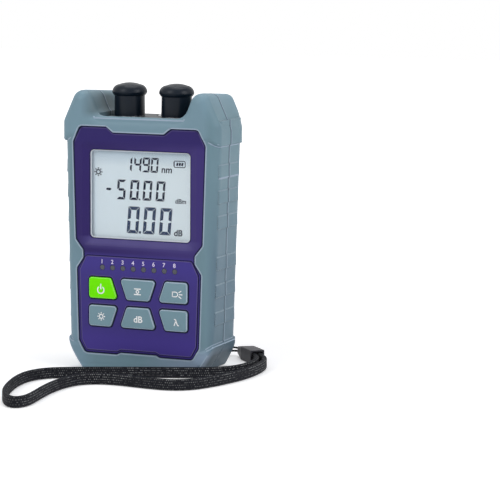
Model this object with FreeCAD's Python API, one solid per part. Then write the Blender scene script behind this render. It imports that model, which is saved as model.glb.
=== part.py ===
import FreeCAD, Part
import math
import os

from FreeCAD import Vector

# Hand-held optical power meter: two fibre ports under dust caps, a display, six keys and a wrist strap.
# Millimetres. X is the width, the display faces -Y, Z is up, and Z = 0 is the underside of the foot.

# Case
case_depth = 32.0
case_height = 108.6
half_width_base = 33.1
half_width_top = 36.1
parting_y = -2.0
parting_gap = 0.24
rubber = 2.2
wall = 1.8
lip = 0.3
front_corner_base = 4.0
front_corner_top = 6.0
rear_corner_base = 9.0
rear_corner_top = 8.0
shell_corner_radius = 1.5
weld = 0.01
overshoot = 1.0


def at_height(base, top, z):
    """Value at height z of a size that changes evenly from the base of the case to its top."""
    return base + (top - base) * z / case_height


def half_width(z):
    """Half the width of the case at height z, with the moulding's draft."""
    return at_height(half_width_base, half_width_top, z)


# Rubber head with its two horns, and rubber foot
head_height = 10.7
head_bottom = case_height - head_height
head_side_proud = 0.75
head_half_width = half_width(head_bottom) + head_side_proud
head_proud = 0.8
head_edge_radius = 4.6
head_corner_radius = 5.0
horn_shoulder = head_bottom + head_height * 0.83
horn_rise = 11.3
horn_top = case_height + horn_rise
horn_tip_radius = 4.8
horn_outer_run = 6.0
horn_outer_top = head_half_width - horn_outer_run
horn_top_width = 6.4
horn_inner_top = horn_outer_top - horn_top_width
horn_inner_run = 4.25
horn_inner_bottom = horn_inner_top - horn_inner_run
rim_rise = 0.9
rim_top = case_height + rim_rise
horn_front_rise = 0.4
horn_rear_drop = 1.6
horn_rear_inset = 2.2
taper_tip_radius = 4.0
foot_height = 13.6
foot_side_proud = 0.8
foot_half_width = half_width(foot_height) + foot_side_proud
foot_proud = 0.6
foot_edge_radius = 4.0
foot_chamfer_height = foot_height - 0.8
foot_chamfer_width = 7.8
foot_overhang = 5.0
lower_corner_radius = 2.0
soft_radius = 0.7

# Grip pads on both sides, proudest at their lower edges
pad_height = 5.6
pad_proud = 0.4
pad_top_proud = 0.15
pad_front = -12.5
pad_rear = 9.0
upper_pad_low = 84.4
upper_pad_pitch = 10.8
lower_pad_low = 45.4
lower_pad_pitch = 11.8
pads_in_row = 3

# Panel seen between the rubber parts
panel_upper_inset = 5.1
panel_lower_inset = 5.3
panel_waist_inset = 8.55
panel_top = case_height - 3.85
panel_shoulder = panel_top - 6.65
panel_top_half_width = half_width(panel_top) - 8.5
panel_notch_outer = 15.0
panel_notch_inner = 11.8
panel_notch_depth = 2.45
panel_waist_upper = 56.1
panel_waist_top = 51.6
panel_waist_bottom = 48.2
panel_waist_lower = 43.7
panel_foot_side = 12.2
panel_bottom = 7.1
panel_bottom_half_width = half_width(panel_bottom) - 8.2
panel_step_outer = 10.1
panel_step_inner = 8.3
panel_step_height = 0.9
panel_radius = 2.0
panel_fit = 0.15
plateau_top = 49.2
plateau_inset = 1.3
plateau_proud = 0.35
plateau_radius = 1.2
rear_panel_gap = 2.4
rear_panel_inset = 6.5
rear_panel_corner = 4.0

# Display
window_low = panel_waist_upper + 0.85
window_top_margin = 10.0
window_high = panel_top - window_top_margin
window_side_inset = 11.86
window_radius = 1.8
dish_width = 3.3
dish_depth = 1.1
dish_floor = 0.3
lens_overlap = 1.6
lens_thickness = 1.2
lcd_overlap = 1.2
lcd_thickness = 2.0
backlight_thickness = 2.0
holder_wall = 1.1
fit_gap = 0.1

# Keys
key_top = 40.1
key_height = 9.05
key_pitch = 12.05
key_side_inset = 11.0
key_side_wide = 13.5
key_side_narrow = 10.35
key_column_gap = 4.3
key_corner = 1.3
key_proud = 1.2
key_clearance = 0.3
key_chamfer = 0.45
key_flange = 0.8
key_flange_thickness = 0.8
key_travel = 0.5
key_post_radius = 2.5
key_post_gap = 1.3

# Key switches on the board
switch_size = 6.0
switch_height = 3.2
plunger_radius = 1.7
plunger_clearance = 0.1
plunger_depth = 2.4
plunger_end_gap = 0.2

# Status lights
light_count = 8
light_height = 44.5
light_radius = 1.05
light_clearance = 0.12
light_bar_height = 3.2
light_bar_thickness = 1.2
led_size = 1.6
led_height = 0.7

# Main board
board_front = -8.0
board_thickness = 1.6
board_side_gap = 0.8
board_bottom = 8.2
board_top = case_height - 6.0

# Screws and their bosses
boss_radius = 2.7
boss_side_gap = 0.6
case_screw_low = 17.5
case_screw_high = case_height - 7.6
case_screw_radius = 1.3
case_screw_head_radius = 2.3
case_screw_head_height = 1.7
case_screw_recess = 3.0
case_screw_length = 21.0
thread_fit = 0.02
hole_clearance = 0.2
post_radius = 1.9
post_side_gap = 1.6
post_low = 29.5
post_high = 48.4
board_screw_radius = 0.8
board_screw_head_radius = 1.6
board_screw_head_height = 1.0
board_screw_length = 3.4
driver_slot_width = 0.6

# Fibre ports on the deck
deck_thickness = 1.6
deck_gap = 0.3
deck_half_width = horn_inner_bottom - 0.6
deck_front = -13.7
deck_rear = 16.1
port_x = deck_half_width * 0.57
port_y = -1.4
port_barrel_radius = 4.7
port_height = 9.8
port_flange_radius = 5.7
port_flange_thickness = 1.2
port_mouth_radius = 2.9
port_mouth_depth = 3.0
port_hole_gap = 0.05
ferrule_radius = 1.25
ferrule_depth = 10.0
port_tail = 5.0
port_key_width = 2.1
port_nut_radius = 6.4
port_nut_thickness = 1.6
module_radius = 3.9
module_length = 11.0
module_rim = 0.7
module_rim_height = 1.5
torch_radius = 2.4
torch_y = 8.2
torch_length = 3.0
top_opening_margin = 0.8

# Dust caps
cap_radius = 6.6
cap_taper = 0.1
cap_head_radius = 7.55
cap_neck_height = 8.8
cap_shoulder_rise = 0.75
cap_shoulder_inset = 0.35
cap_wide_rise = 1.5
cap_crown_height = 4.15
cap_clearance = 0.15

# Connectors in the foot
jack_centre = -13.0
jack_width = 16.0
jack_depth = 13.4
jack_height = 16.0
jack_mouth_width = 11.8
jack_mouth_depth = 8.4
jack_cavity = 13.0
jack_tab_width = 6.0
jack_tab_depth = 1.6
jack_tab_length = 9.1
jack_recess = 0.4
jack_contacts = 8
jack_contact_pitch = 1.1
jack_contact_size = 0.4
jack_contact_length = 8.0
usb_centre = 10.0
usb_width = 8.0
usb_depth = 2.9
usb_height = 11.6
usb_wall = 0.4
usb_tongue_side = 1.6
usb_tongue_thickness = 0.6
connector_clearance = 0.2

# Battery
battery_width = 50.0
battery_height = 34.0
battery_thickness = 7.4
battery_centre = 62.0
battery_radius = 2.5

# Strap eye in the lower rear edge
eye_x = 24.0
eye_height = 8.0
eye_width = 6.0
eye_opening = 6.4
eye_depth = 4.6
eye_bar_radius = 1.0
eye_bar_y = 14.3
eye_bar_anchor = 1.0
eye_wall = 1.5

# Strap, thin cord and their clamp, lying on the surface the meter stands on
strap_width = 4.7
strap_thickness = 2.0
strap_lift = 0.05
cord_diameter = 0.9
clamp_tip_x = 25.4
clamp_tip_y = 37.2
clamp_heading = -45.0
clamp_mouth_width = 6.6
clamp_mouth_height = 6.0
clamp_tip_width = 3.0
clamp_tip_height = 3.4
clamp_nose = 8.0
clamp_body = 11.0
clamp_socket = 2.0
clamp_wall = 0.7
clamp_edge_radius = 0.5

# Route of the strap's middle line, from the clamp round the loop and back to the clamp
strap_route = [
    (38.36, 25.97), (43.8, 20.1), (47.4, 10.4), (48.5, -2.0), (47.4, -14.0), (44.9, -24.0),
    (41.6, -33.6), (37.0, -42.8), (28.8, -48.0), (16.6, -47.6), (5.4, -45.9), (-3.8, -46.9),
    (-10.6, -51.8), (-13.2, -61.4), (-13.2, -72.4), (-12.0, -82.8), (-10.2, -93.4), (-9.6, -100.4),
    (-11.6, -105.2), (-16.0, -103.8), (-20.6, -97.8), (-24.6, -90.4), (-28.6, -79.8), (-32.4, -66.0),
    (-33.4, -53.6), (-29.4, -44.6), (-20.6, -39.2), (-10.4, -34.3), (0.6, -29.4), (11.4, -24.9),
    (21.4, -20.9), (30.6, -17.2), (38.0, -12.0), (42.4, -4.4), (43.8, 4.8), (42.6, 13.4), (40.2, 20.0),
    (36.63, 24.24),
]

# Route of the thin cord, from the clamp round the bar of the eye and back to the clamp
cord_route = [
    (25.35, 37.25, 3.7), (22.6, 39.6, 3.5), (19.6, 37.6, 3.8), (19.8, 31.6, 5.1), (22.6, 24.2, 7.1),
    (24.0, 18.4, 9.2), (24.0, 12.75, 9.85), (24.0, 12.75, 6.15), (24.0, 18.2, 6.4), (22.8, 24.6, 5.2),
    (20.4, 31.4, 3.2), (20.2, 37.0, 2.3), (22.7, 38.9, 2.2), (25.35, 37.25, 2.4),
]

# Worked out from the sizes above
front_face = -case_depth / 2
rear_face = case_depth / 2
deck_top = case_height
shell_top = deck_top - deck_thickness
shell_front = front_face + rubber - fit_gap
shell_rear = rear_face - rubber + fit_gap
panel_back = front_face + wall
rear_panel_back = rear_face - wall
board_rear = board_front + board_thickness
key_outer = half_width(key_top - key_pitch / 2) - key_side_inset
light_pitch = key_outer * 0.21
window_half_width = half_width((window_low + window_high) / 2) - window_side_inset
port_mouth = deck_top + port_height
cap_bottom = deck_top + deck_gap
cap_neck = deck_top + cap_neck_height
cap_wide = cap_neck + cap_wide_rise
cap_top = cap_wide + cap_crown_height
switch_face = board_front - switch_height
plunger_face = switch_face - key_post_gap
clamp_length = clamp_nose + clamp_body - clamp_socket
far = 80.0


def box(x0, x1, y0, y1, z0, z1):
    return Part.makeBox(x1 - x0, y1 - y0, z1 - z0, Vector(x0, y0, z0))


def rod(radius, x, z, y0, y1):
    """Cylinder along Y from y0 to y1."""
    return Part.makeCylinder(radius, y1 - y0, Vector(x, y0, z), Vector(0, 1, 0))


def post(radius, x, y, z0, z1):
    """Cylinder along Z from z0 to z1."""
    return Part.makeCylinder(radius, z1 - z0, Vector(x, y, z0), Vector(0, 0, 1))


def closed_wire(corners):
    """Flat closed wire through (point, radius) corners, with a tangent arc at each rounded one."""
    trims = []
    for index, (point, radius) in enumerate(corners):
        before = (corners[index - 1][0] - point).normalize()
        after = (corners[(index + 1) % len(corners)][0] - point).normalize()
        if radius == 0:
            trims.append((point, None, point))
            continue
        half = before.getAngle(after) / 2
        reach = radius / math.tan(half)
        centre = point + (before + after).normalize() * (radius / math.sin(half))
        middle = centre + (point - centre).normalize() * radius
        trims.append((point + before * reach, middle, point + after * reach))
    edges = []
    for index, (entry, middle, leave) in enumerate(trims):
        if middle is not None:
            edges.append(Part.Arc(entry, middle, leave).toShape())
        following = trims[(index + 1) % len(trims)][0]
        if leave.distanceToPoint(following) > 1e-6:
            edges.append(Part.LineSegment(leave, following).toShape())
    return Part.Wire(edges)


def symmetric(right_side):
    """Corners of the right half from the bottom up, then their mirror images back down."""
    return right_side + [(-x, z, radius) for x, z, radius in reversed(right_side)]


def front_wire(outline, y, grow=0.0):
    """Wire of (x, z, radius) corners at depth y, offset outwards by grow."""
    wire = closed_wire([(Vector(x, y, z), radius) for x, z, radius in outline])
    return wire.makeOffset2D(grow) if grow else wire


def front_prism(outline, y0, y1, grow=0.0):
    """Solid between y0 and y1 whose front view is the outline."""
    return Part.Face(front_wire(outline, y0, grow)).extrude(Vector(0, y1 - y0, 0))


def rounded_rectangle(half_x, low, high, radius):
    return symmetric([(half_x, low, radius), (half_x, high, radius)])


def plan_wire(half_x, front, rear, front_radius, rear_radius, z):
    """Rounded rectangle at height z, with other radii at the front and at the rear."""
    corners = [
        (Vector(-half_x, front, z), front_radius),
        (Vector(half_x, front, z), front_radius),
        (Vector(half_x, rear, z), rear_radius),
        (Vector(-half_x, rear, z), rear_radius),
    ]
    return closed_wire(corners)


def case_block(low, high, low_inset, high_inset):
    """Block that follows the drafted sides of the case, inset from them at its lower and upper ends."""
    ends = []
    for z, inset in ((low, low_inset), (high, high_inset)):
        front_radius = at_height(front_corner_base, front_corner_top, z)
        rear_radius = at_height(rear_corner_base, rear_corner_top, z)
        ends.append(plan_wire(half_width(z) - inset, front_face - lip, rear_face,
                              front_radius, rear_radius, z))
    return Part.makeLoft(ends, True, True)


def foot_corners(inset):
    """Prism whose lower corners are cut off on the slant, as the foot's are, inset from them."""
    outline = symmetric([
        (foot_half_width - foot_chamfer_width, 0, lower_corner_radius),
        (foot_half_width, foot_chamfer_height, lower_corner_radius),
        (foot_half_width + foot_overhang, far, 0),
        (foot_half_width + foot_overhang, far * 2, 0),
    ])
    return front_prism(outline, -far, far, -inset)


def edges_at_depth(shape, y):
    """Edges of the shape that lie wholly in the plane at depth y."""
    found = []
    for edge in shape.Edges:
        bounds = edge.BoundBox
        if abs(bounds.YMin - y) < 1e-4 and abs(bounds.YMax - y) < 1e-4:
            found.append(edge)
    return found


def head_outline(drop, inset, tip_radius):
    """Outline of the head with its horns cut lower by drop and their outer slopes moved in by inset."""
    outer_slope = (head_half_width - horn_outer_top) / (horn_top - horn_shoulder)
    inner_slope = (horn_inner_top - horn_inner_bottom) / (horn_top - rim_top)
    return symmetric([
        (head_half_width, head_bottom, soft_radius),
        (head_half_width, horn_shoulder - inset / outer_slope, head_corner_radius),
        (horn_outer_top - inset + drop * outer_slope, horn_top - drop, tip_radius),
        (horn_inner_top - drop * inner_slope, horn_top - drop, tip_radius),
        (horn_inner_bottom, rim_top, head_corner_radius),
    ])


def make_head():
    """Rubber head: a band round the top of the case that rises into two horns, lower at the rear."""
    front = front_face - head_proud
    rear = rear_face + lip
    head = front_prism(head_outline(0, 0, horn_tip_radius), front, rear)
    head = head.makeFillet(head_edge_radius, edges_at_depth(head, front) + edges_at_depth(head, rear))
    front_end = front_wire(head_outline(-horn_front_rise, 0, taper_tip_radius), front)
    rear_end = front_wire(head_outline(horn_rear_drop, horn_rear_inset, taper_tip_radius), rear)
    head = head.common(Part.makeLoft([front_end, rear_end], True, True))
    plan = plan_wire(head_half_width, front - far, rear, 0, rear_corner_top, head_bottom)
    return head.common(Part.Face(plan).extrude(Vector(0, 0, horn_top)))


def make_foot():
    """Rubber foot that stands proud round the bottom of the case."""
    front = front_face - foot_proud
    rear = rear_face + lip
    outline = symmetric([(foot_half_width, 0, 0), (foot_half_width, foot_height, soft_radius)])
    foot = front_prism(outline, front, rear)
    foot = foot.makeFillet(foot_edge_radius, edges_at_depth(foot, front))
    plan = plan_wire(foot_half_width, front - far, rear, 0, rear_corner_base, 0)
    return foot.common(Part.Face(plan).extrude(Vector(0, 0, foot_height)))


def make_envelope():
    """Outer form of the two rubber bumpers together."""
    body = case_block(0, case_height, 0, 0)
    for lowest, pitch in ((upper_pad_low, upper_pad_pitch), (lower_pad_low, lower_pad_pitch)):
        for row in range(pads_in_row):
            low = lowest - row * pitch
            pad = case_block(low, low + pad_height, -pad_proud, -pad_top_proud)
            body = body.fuse(pad.common(box(-far, far, pad_front, pad_rear, 0, far * 2)))
    body = body.fuse(make_head()).fuse(make_foot())
    return body.common(foot_corners(0)).removeSplitter()


def shell_block(inset):
    """Outer form of the inner case for inset 0, and its cavity for the wall thickness."""
    ends = []
    for z in (rubber + inset, shell_top - inset):
        rear_radius = at_height(rear_corner_base, rear_corner_top, z) - rubber - inset
        ends.append(plan_wire(half_width(z) - rubber - inset, shell_front + inset, shell_rear - inset,
                              shell_corner_radius, rear_radius, z))
    return Part.makeLoft(ends, True, True).common(foot_corners(rubber + inset))


def panel_outline():
    """Outline of the front panel, with its notched top and its waist above the keys."""
    return symmetric([
        (panel_step_inner, panel_bottom + panel_step_height, soft_radius),
        (panel_step_outer, panel_bottom, soft_radius),
        (panel_bottom_half_width, panel_bottom, panel_radius),
        (half_width(panel_foot_side) - panel_lower_inset, panel_foot_side, panel_radius),
        (half_width(panel_waist_lower) - panel_lower_inset, panel_waist_lower, panel_radius),
        (half_width(panel_waist_bottom) - panel_waist_inset, panel_waist_bottom, panel_radius),
        (half_width(panel_waist_top) - panel_waist_inset, panel_waist_top, panel_radius),
        (half_width(panel_waist_upper) - panel_upper_inset, panel_waist_upper, panel_radius),
        (half_width(panel_shoulder) - panel_upper_inset, panel_shoulder, panel_radius),
        (panel_top_half_width, panel_top, panel_radius),
        (panel_notch_outer, panel_top, soft_radius),
        (panel_notch_inner, panel_top - panel_notch_depth, soft_radius),
    ])


def plateau_outline():
    """Raised field round the keys, set in from the panel's edge."""
    lower = panel_lower_inset + plateau_inset
    waist = panel_waist_inset + plateau_inset
    return symmetric([
        (panel_step_inner, panel_bottom + panel_step_height + plateau_inset, soft_radius),
        (panel_step_outer, panel_bottom + plateau_inset, soft_radius),
        (panel_bottom_half_width - plateau_inset / 2, panel_bottom + plateau_inset, plateau_radius),
        (half_width(panel_foot_side) - lower, panel_foot_side + plateau_inset / 2, plateau_radius),
        (half_width(panel_waist_lower) - lower, panel_waist_lower - plateau_inset / 2, plateau_radius),
        (half_width(plateau_top) - waist, plateau_top, plateau_radius),
    ])


def rear_outline(inset):
    """Outline of the rear panel between the rubber parts."""
    low = foot_height + rear_panel_gap + inset
    high = head_bottom - rear_panel_gap - inset
    side = rear_panel_inset + inset
    return symmetric([
        (half_width(low) - side - rear_panel_corner, low, panel_radius),
        (half_width(low) - side, low + rear_panel_corner, panel_radius),
        (half_width(high) - side, high - rear_panel_corner, panel_radius),
        (half_width(high) - side - rear_panel_corner, high, panel_radius),
    ])


def key_outlines():
    """Front outlines of the six keys: two rows whose inner edges slant opposite ways."""
    wide = key_outer - key_side_narrow
    narrow = key_outer - key_side_wide
    rows = []
    for row, (upper, lower) in enumerate(((wide, narrow), (narrow, wide))):
        high = key_top - row * key_pitch
        low = high - key_height
        middle = symmetric([(lower - key_column_gap, low, key_corner),
                            (upper - key_column_gap, high, key_corner)])
        right = [(lower, low, key_corner), (key_outer, low, key_corner),
                 (key_outer, high, key_corner), (upper, high, key_corner)]
        left = [(-x, z, radius) for x, z, radius in reversed(right)]
        rows.append([left, middle, right])
    names = [["power", "reference", "cable_test"], ["backlight", "decibel", "wavelength"]]
    return [(names[row][column], rows[row][column]) for row in range(2) for column in range(3)]


def centre_of(outline):
    """Middle of an outline's bounding box, as x and z."""
    across = [x for x, z, radius in outline]
    up = [z for x, z, radius in outline]
    return (min(across) + max(across)) / 2, (min(up) + max(up)) / 2


def light_positions():
    return [(index - (light_count - 1) / 2) * light_pitch for index in range(light_count)]


def inner_places(heights, inset):
    """Places in mirrored pairs at the given heights, inset from the cavity's side walls."""
    return [(side * (half_width(z) - rubber - wall - inset), z) for side in (-1, 1) for z in heights]


def case_screw_places():
    return inner_places((case_screw_low, case_screw_high), boss_radius + boss_side_gap)


def board_screw_places():
    return inner_places((post_low, post_high), post_radius + post_side_gap)


def deck_well():
    """Space between the horns that is open above the deck and to the rear."""
    return box(-deck_half_width - deck_gap, deck_half_width + deck_gap, deck_front - deck_gap, far,
               shell_top, far * 2)


def foot_openings():
    """Cuts through the bottom walls for the network jack and the charging socket."""
    gap = connector_clearance
    jack = box(jack_centre - jack_width / 2 - gap, jack_centre + jack_width / 2 + gap,
               board_rear - gap, board_rear + jack_depth + gap, -overshoot, board_bottom)
    usb = box(usb_centre - usb_width / 2 - gap, usb_centre + usb_width / 2 + gap,
              board_rear - gap, board_rear + usb_depth + gap, -overshoot, board_bottom)
    return [jack, usb]


def eye_recess():
    """Pocket in which the strap's thin cord passes round a bar."""
    return box(eye_x - eye_width / 2, eye_x + eye_width / 2, rear_face - eye_depth, far,
               eye_height - eye_opening / 2, eye_height + eye_opening / 2)


def eye_bar():
    """Bar across the recess, anchored in its side walls."""
    length = eye_width + 2 * eye_bar_anchor
    return Part.makeCylinder(eye_bar_radius, length, Vector(eye_x - length / 2, eye_bar_y, eye_height),
                             Vector(1, 0, 0))


def eye_pocket():
    """Walls of the shell round the recess, inside the shell's outer form."""
    walls = box(eye_x - eye_width / 2 - eye_wall, eye_x + eye_width / 2 + eye_wall,
                rear_face - eye_depth - eye_wall, far, eye_height - eye_opening / 2 - eye_wall,
                eye_height + eye_opening / 2 + eye_wall)
    return walls.common(shell_block(0))


def cut_all(shape, tools):
    for tool in tools:
        shape = shape.cut(tool)
    return shape


def fuse_all(shapes):
    whole = shapes[0]
    for shape in shapes[1:]:
        whole = whole.fuse(shape)
    return whole.removeSplitter()


def make_bumpers():
    envelope = cut_all(make_envelope(), [shell_block(0), deck_well()] + foot_openings())
    front = envelope.common(box(-far, far, -far, parting_y - parting_gap / 2, -far, far * 2))
    front = front.cut(front_prism(panel_outline(), -far, parting_y, panel_fit))
    rear = envelope.common(box(-far, far, parting_y + parting_gap / 2, far, -far, far * 2))
    rear = rear.cut(front_prism(rear_outline(0), 0, far, panel_fit))
    screw_holes = [rod(boss_radius + hole_clearance, x, z, 0, far) for x, z in case_screw_places()]
    return front, cut_all(rear, [eye_recess()] + screw_holes).fuse(eye_bar())


def make_front_shell():
    """Front half of the inner case, with the panel, the display opening and the key openings."""
    half = box(-far, far, -far, parting_y, -far, far * 2)
    form = shell_block(0).common(half).fuse(front_prism(panel_outline(), front_face, shell_front + weld))
    form = form.fuse(front_prism(plateau_outline(), front_face - plateau_proud, front_face + weld))
    hollow = front_prism(panel_outline(), panel_back, shell_front + wall + weld, -wall)
    shell = cut_all(form, [shell_block(wall), hollow, top_opening()] + foot_openings())
    dish = Part.makeLoft([front_wire(display_outline(dish_width), front_face),
                          front_wire(display_outline(dish_floor), front_face + dish_depth)], True, True)
    before = front_face - overshoot
    behind = panel_back + overshoot
    cuts = [dish, front_prism(display_outline(0), before, behind)]
    for name, outline in key_outlines():
        cuts.append(front_prism(outline, before, behind, key_clearance))
    for x in light_positions():
        cuts.append(rod(light_radius + light_clearance, x, light_height, before, behind))
    solids = [cut_all(shell, cuts)]
    for x, z in case_screw_places():
        solids.append(rod(boss_radius, x, z, panel_back, parting_y).common(form))
    for x, z in board_screw_places():
        solids.append(rod(post_radius, x, z, panel_back, board_front).common(form))
    shell = fuse_all(solids)
    tip = rear_face - case_screw_recess - case_screw_length
    bores = [rod(case_screw_radius + thread_fit, x, z, tip - hole_clearance, parting_y + overshoot)
             for x, z in case_screw_places()]
    tip = board_rear - board_screw_length
    bores += [rod(board_screw_radius + thread_fit, x, z, tip - hole_clearance, board_front + overshoot)
              for x, z in board_screw_places()]
    return cut_all(shell, bores)


def top_opening():
    """Opening in the shells' top walls under the deck, for the ports' nuts and the torch."""
    reach = port_x + port_nut_radius + top_opening_margin
    return box(-reach, reach, port_y - port_nut_radius - top_opening_margin,
               torch_y + torch_radius + top_opening_margin, shell_top - 3 * wall, shell_top + overshoot)


def make_rear_shell():
    """Rear half of the inner case, with the plain rear panel and the screw bosses."""
    half = box(-far, far, parting_y, far, -far, far * 2)
    shell = shell_block(0).common(half).cut(shell_block(wall))
    shell = shell.fuse(front_prism(rear_outline(0), shell_rear - weld, rear_face))
    shell = shell.cut(front_prism(rear_outline(wall), shell_rear - wall - weld, rear_panel_back))
    shell = cut_all(shell, foot_openings() + [top_opening()])
    seat = rear_face - case_screw_recess
    solids = [shell, eye_pocket()]
    for x, z in case_screw_places():
        solids.append(rod(boss_radius, x, z, parting_y, seat))
    shell = fuse_all(solids)
    cuts = [eye_recess(), eye_bar()]
    for x, z in case_screw_places():
        cuts.append(rod(case_screw_radius + hole_clearance, x, z, parting_y - overshoot, far))
        cuts.append(rod(case_screw_head_radius + hole_clearance, x, z, seat, far))
    return cut_all(shell, cuts)


def make_top_deck():
    deck = box(-deck_half_width, deck_half_width, deck_front, deck_rear, shell_top, deck_top)
    holes = [post(port_barrel_radius + port_hole_gap, side * port_x, port_y, 0, far * 2) for side in (-1, 1)]
    holes.append(post(torch_radius + fit_gap, 0, torch_y, 0, far * 2))
    return cut_all(deck, holes)


def make_port(side):
    """Threaded fibre adapter with a keyed mouth and the bore for a 2.5 mm ferrule."""
    x = side * port_x
    port = fuse_all([
        post(port_barrel_radius, x, port_y, deck_top - port_tail, port_mouth),
        post(port_flange_radius, x, port_y, deck_top, deck_top + port_flange_thickness),
    ])
    ledge = port_mouth - port_mouth_depth
    slot = box(x - port_key_width / 2, x + port_key_width / 2, port_y - far, port_y,
               ledge, port_mouth + overshoot)
    cuts = [
        post(port_mouth_radius, x, port_y, ledge, port_mouth + overshoot),
        post(ferrule_radius, x, port_y, ledge - ferrule_depth, port_mouth + overshoot),
        slot,
    ]
    return cut_all(port, cuts)


def make_port_nut(side):
    x = side * port_x
    corners = []
    for index in range(6):
        angle = math.radians(60 * index)
        corner = Vector(x + port_nut_radius * math.cos(angle), port_y + port_nut_radius * math.sin(angle),
                        shell_top - port_nut_thickness)
        corners.append((corner, 0))
    nut = Part.Face(closed_wire(corners)).extrude(Vector(0, 0, port_nut_thickness))
    return nut.cut(post(port_barrel_radius + thread_fit, x, port_y, 0, far * 2))


def make_module(side):
    """Sealed optical can behind a port."""
    top = deck_top - port_tail
    can = post(module_radius, side * port_x, port_y, top - module_length, top)
    base = post(module_radius + module_rim, side * port_x, port_y, top - module_length,
                top - module_length + module_rim_height)
    return fuse_all([can, base])


def make_dust_cap(side):
    """Rubber cap turned as one form: a plain barrel under a domed head, hollow over the port."""
    crown_radius = cap_head_radius * 0.62
    crown_drop = cap_crown_height * 0.2
    ball = (crown_radius ** 2 + crown_drop ** 2) / (2 * crown_drop)
    ball_centre = Vector(0, 0, cap_top - ball)
    crown = Vector(crown_radius, 0, cap_top - crown_drop)
    halfway = ball_centre + (crown + Vector(0, 0, cap_top) - ball_centre * 2).normalize() * ball
    outer = [
        Vector(0, 0, cap_bottom),
        Vector(cap_radius, 0, cap_bottom),
        Vector(cap_radius - cap_taper, 0, cap_neck),
        Vector(cap_head_radius - cap_shoulder_inset, 0, cap_neck + cap_shoulder_rise),
        Vector(cap_head_radius, 0, cap_wide),
    ]
    edges = [Part.LineSegment(outer[index], outer[index + 1]).toShape() for index in range(len(outer) - 1)]
    shoulder = Vector(cap_head_radius * 0.9, 0, cap_wide + cap_crown_height * 0.5)
    edges.append(Part.Arc(outer[-1], shoulder, crown).toShape())
    edges.append(Part.Arc(crown, halfway, Vector(0, 0, cap_top)).toShape())
    edges.append(Part.LineSegment(Vector(0, 0, cap_top), outer[0]).toShape())
    cap = Part.Face(Part.Wire(edges)).revolve(Vector(0, 0, 0), Vector(0, 0, 1), 360)
    flange_room = deck_top + port_flange_thickness + deck_gap
    cap = cap.cut(post(port_barrel_radius + cap_clearance, 0, 0, deck_top, port_mouth + deck_gap))
    cap = cap.cut(post(port_flange_radius + cap_clearance, 0, 0, deck_top, flange_room))
    cap.translate(Vector(side * port_x, port_y, 0))
    return cap


def make_torch_led():
    body = post(torch_radius, 0, torch_y, shell_top - torch_length, shell_top)
    return fuse_all([body, Part.makeSphere(torch_radius, Vector(0, torch_y, shell_top))])


def make_key(outline):
    """Key cap with a rounded face, a flange behind the panel and a post for its switch."""
    front = front_face - key_proud
    back = panel_back + fit_gap + key_flange_thickness
    cap = front_prism(outline, front, back)
    cap = cap.makeChamfer(key_chamfer, edges_at_depth(cap, front))
    flange = front_prism(outline, panel_back + fit_gap, back, key_flange)
    x, z = centre_of(outline)
    return fuse_all([cap, flange, rod(key_post_radius, x, z, back, plunger_face)])


def make_switch(outline):
    x, z = centre_of(outline)
    half = switch_size / 2
    body = box(x - half, x + half, switch_face, board_front, z - half, z + half)
    return body.cut(rod(plunger_radius + plunger_clearance, x, z, plunger_face,
                        switch_face + plunger_depth + key_travel))


def make_plunger(outline):
    x, z = centre_of(outline)
    return rod(plunger_radius, x, z, plunger_face, switch_face + plunger_depth - plunger_end_gap)


def display_outline(grow):
    """Outline of the display opening, grown on all sides."""
    return rounded_rectangle(window_half_width + grow, window_low - grow, window_high + grow, window_radius)


def make_display():
    """Lens, liquid crystal panel, light plate and the holder that stands on the board."""
    lens_back = panel_back + lens_thickness
    lcd_front = lens_back + fit_gap
    lcd_back = lcd_front + lcd_thickness
    light_back = lcd_back + backlight_thickness
    lens = front_prism(display_outline(lens_overlap), panel_back, lens_back)
    lcd = front_prism(display_outline(lcd_overlap), lcd_front, lcd_back)
    light = front_prism(display_outline(lcd_overlap), lcd_back, light_back)
    holder = front_prism(display_outline(lcd_overlap + fit_gap + holder_wall), lens_back, board_front)
    seat = display_outline(lcd_overlap + fit_gap)
    holder = holder.cut(front_prism(seat, lens_back - overshoot, light_back))
    opening = display_outline(-holder_wall)
    holder = holder.cut(front_prism(opening, lens_back - overshoot, board_front + overshoot))
    return lens, lcd, light, holder


def make_light_guide():
    """Clear bar behind the panel with one pip through it for each status light."""
    half = light_pitch * light_count / 2
    back = panel_back + light_bar_thickness
    bar = box(-half, half, panel_back, back, light_height - light_bar_height / 2,
              light_height + light_bar_height / 2)
    pips = [rod(light_radius, x, light_height, front_face - plateau_proud, board_front - led_height - fit_gap)
            for x in light_positions()]
    return fuse_all([bar] + pips)


def make_status_leds():
    half = led_size / 2
    leds = [box(x - half, x + half, board_front - led_height, board_front, light_height - half / 2,
                light_height + half / 2) for x in light_positions()]
    return Part.makeCompound(leds)


def make_board():
    half = half_width(board_bottom) - rubber - wall - board_side_gap
    board = box(-half, half, board_front, board_rear, board_bottom, board_top)
    holes = [rod(boss_radius + hole_clearance, x, z, board_front - overshoot, board_rear + overshoot)
             for x, z in case_screw_places()]
    holes += [rod(board_screw_radius + hole_clearance, x, z, board_front - overshoot, board_rear + overshoot)
              for x, z in board_screw_places()]
    return cut_all(board, holes)


def make_screw(x, z, seat, radius, head_radius, head_height, length):
    """Screw driven towards -Y whose head seats at depth seat."""
    head = rod(head_radius, x, z, seat, seat + head_height)
    shank = rod(radius, x, z, seat - length, seat + weld)
    reach = head_radius * 0.55
    half = driver_slot_width / 2
    floor = seat + head_height / 2
    across = box(x - reach, x + reach, floor, floor + head_height, z - half, z + half)
    upright = box(x - half, x + half, floor, floor + head_height, z - reach, z + reach)
    return cut_all(fuse_all([head, shank]), [across, upright])


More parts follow.
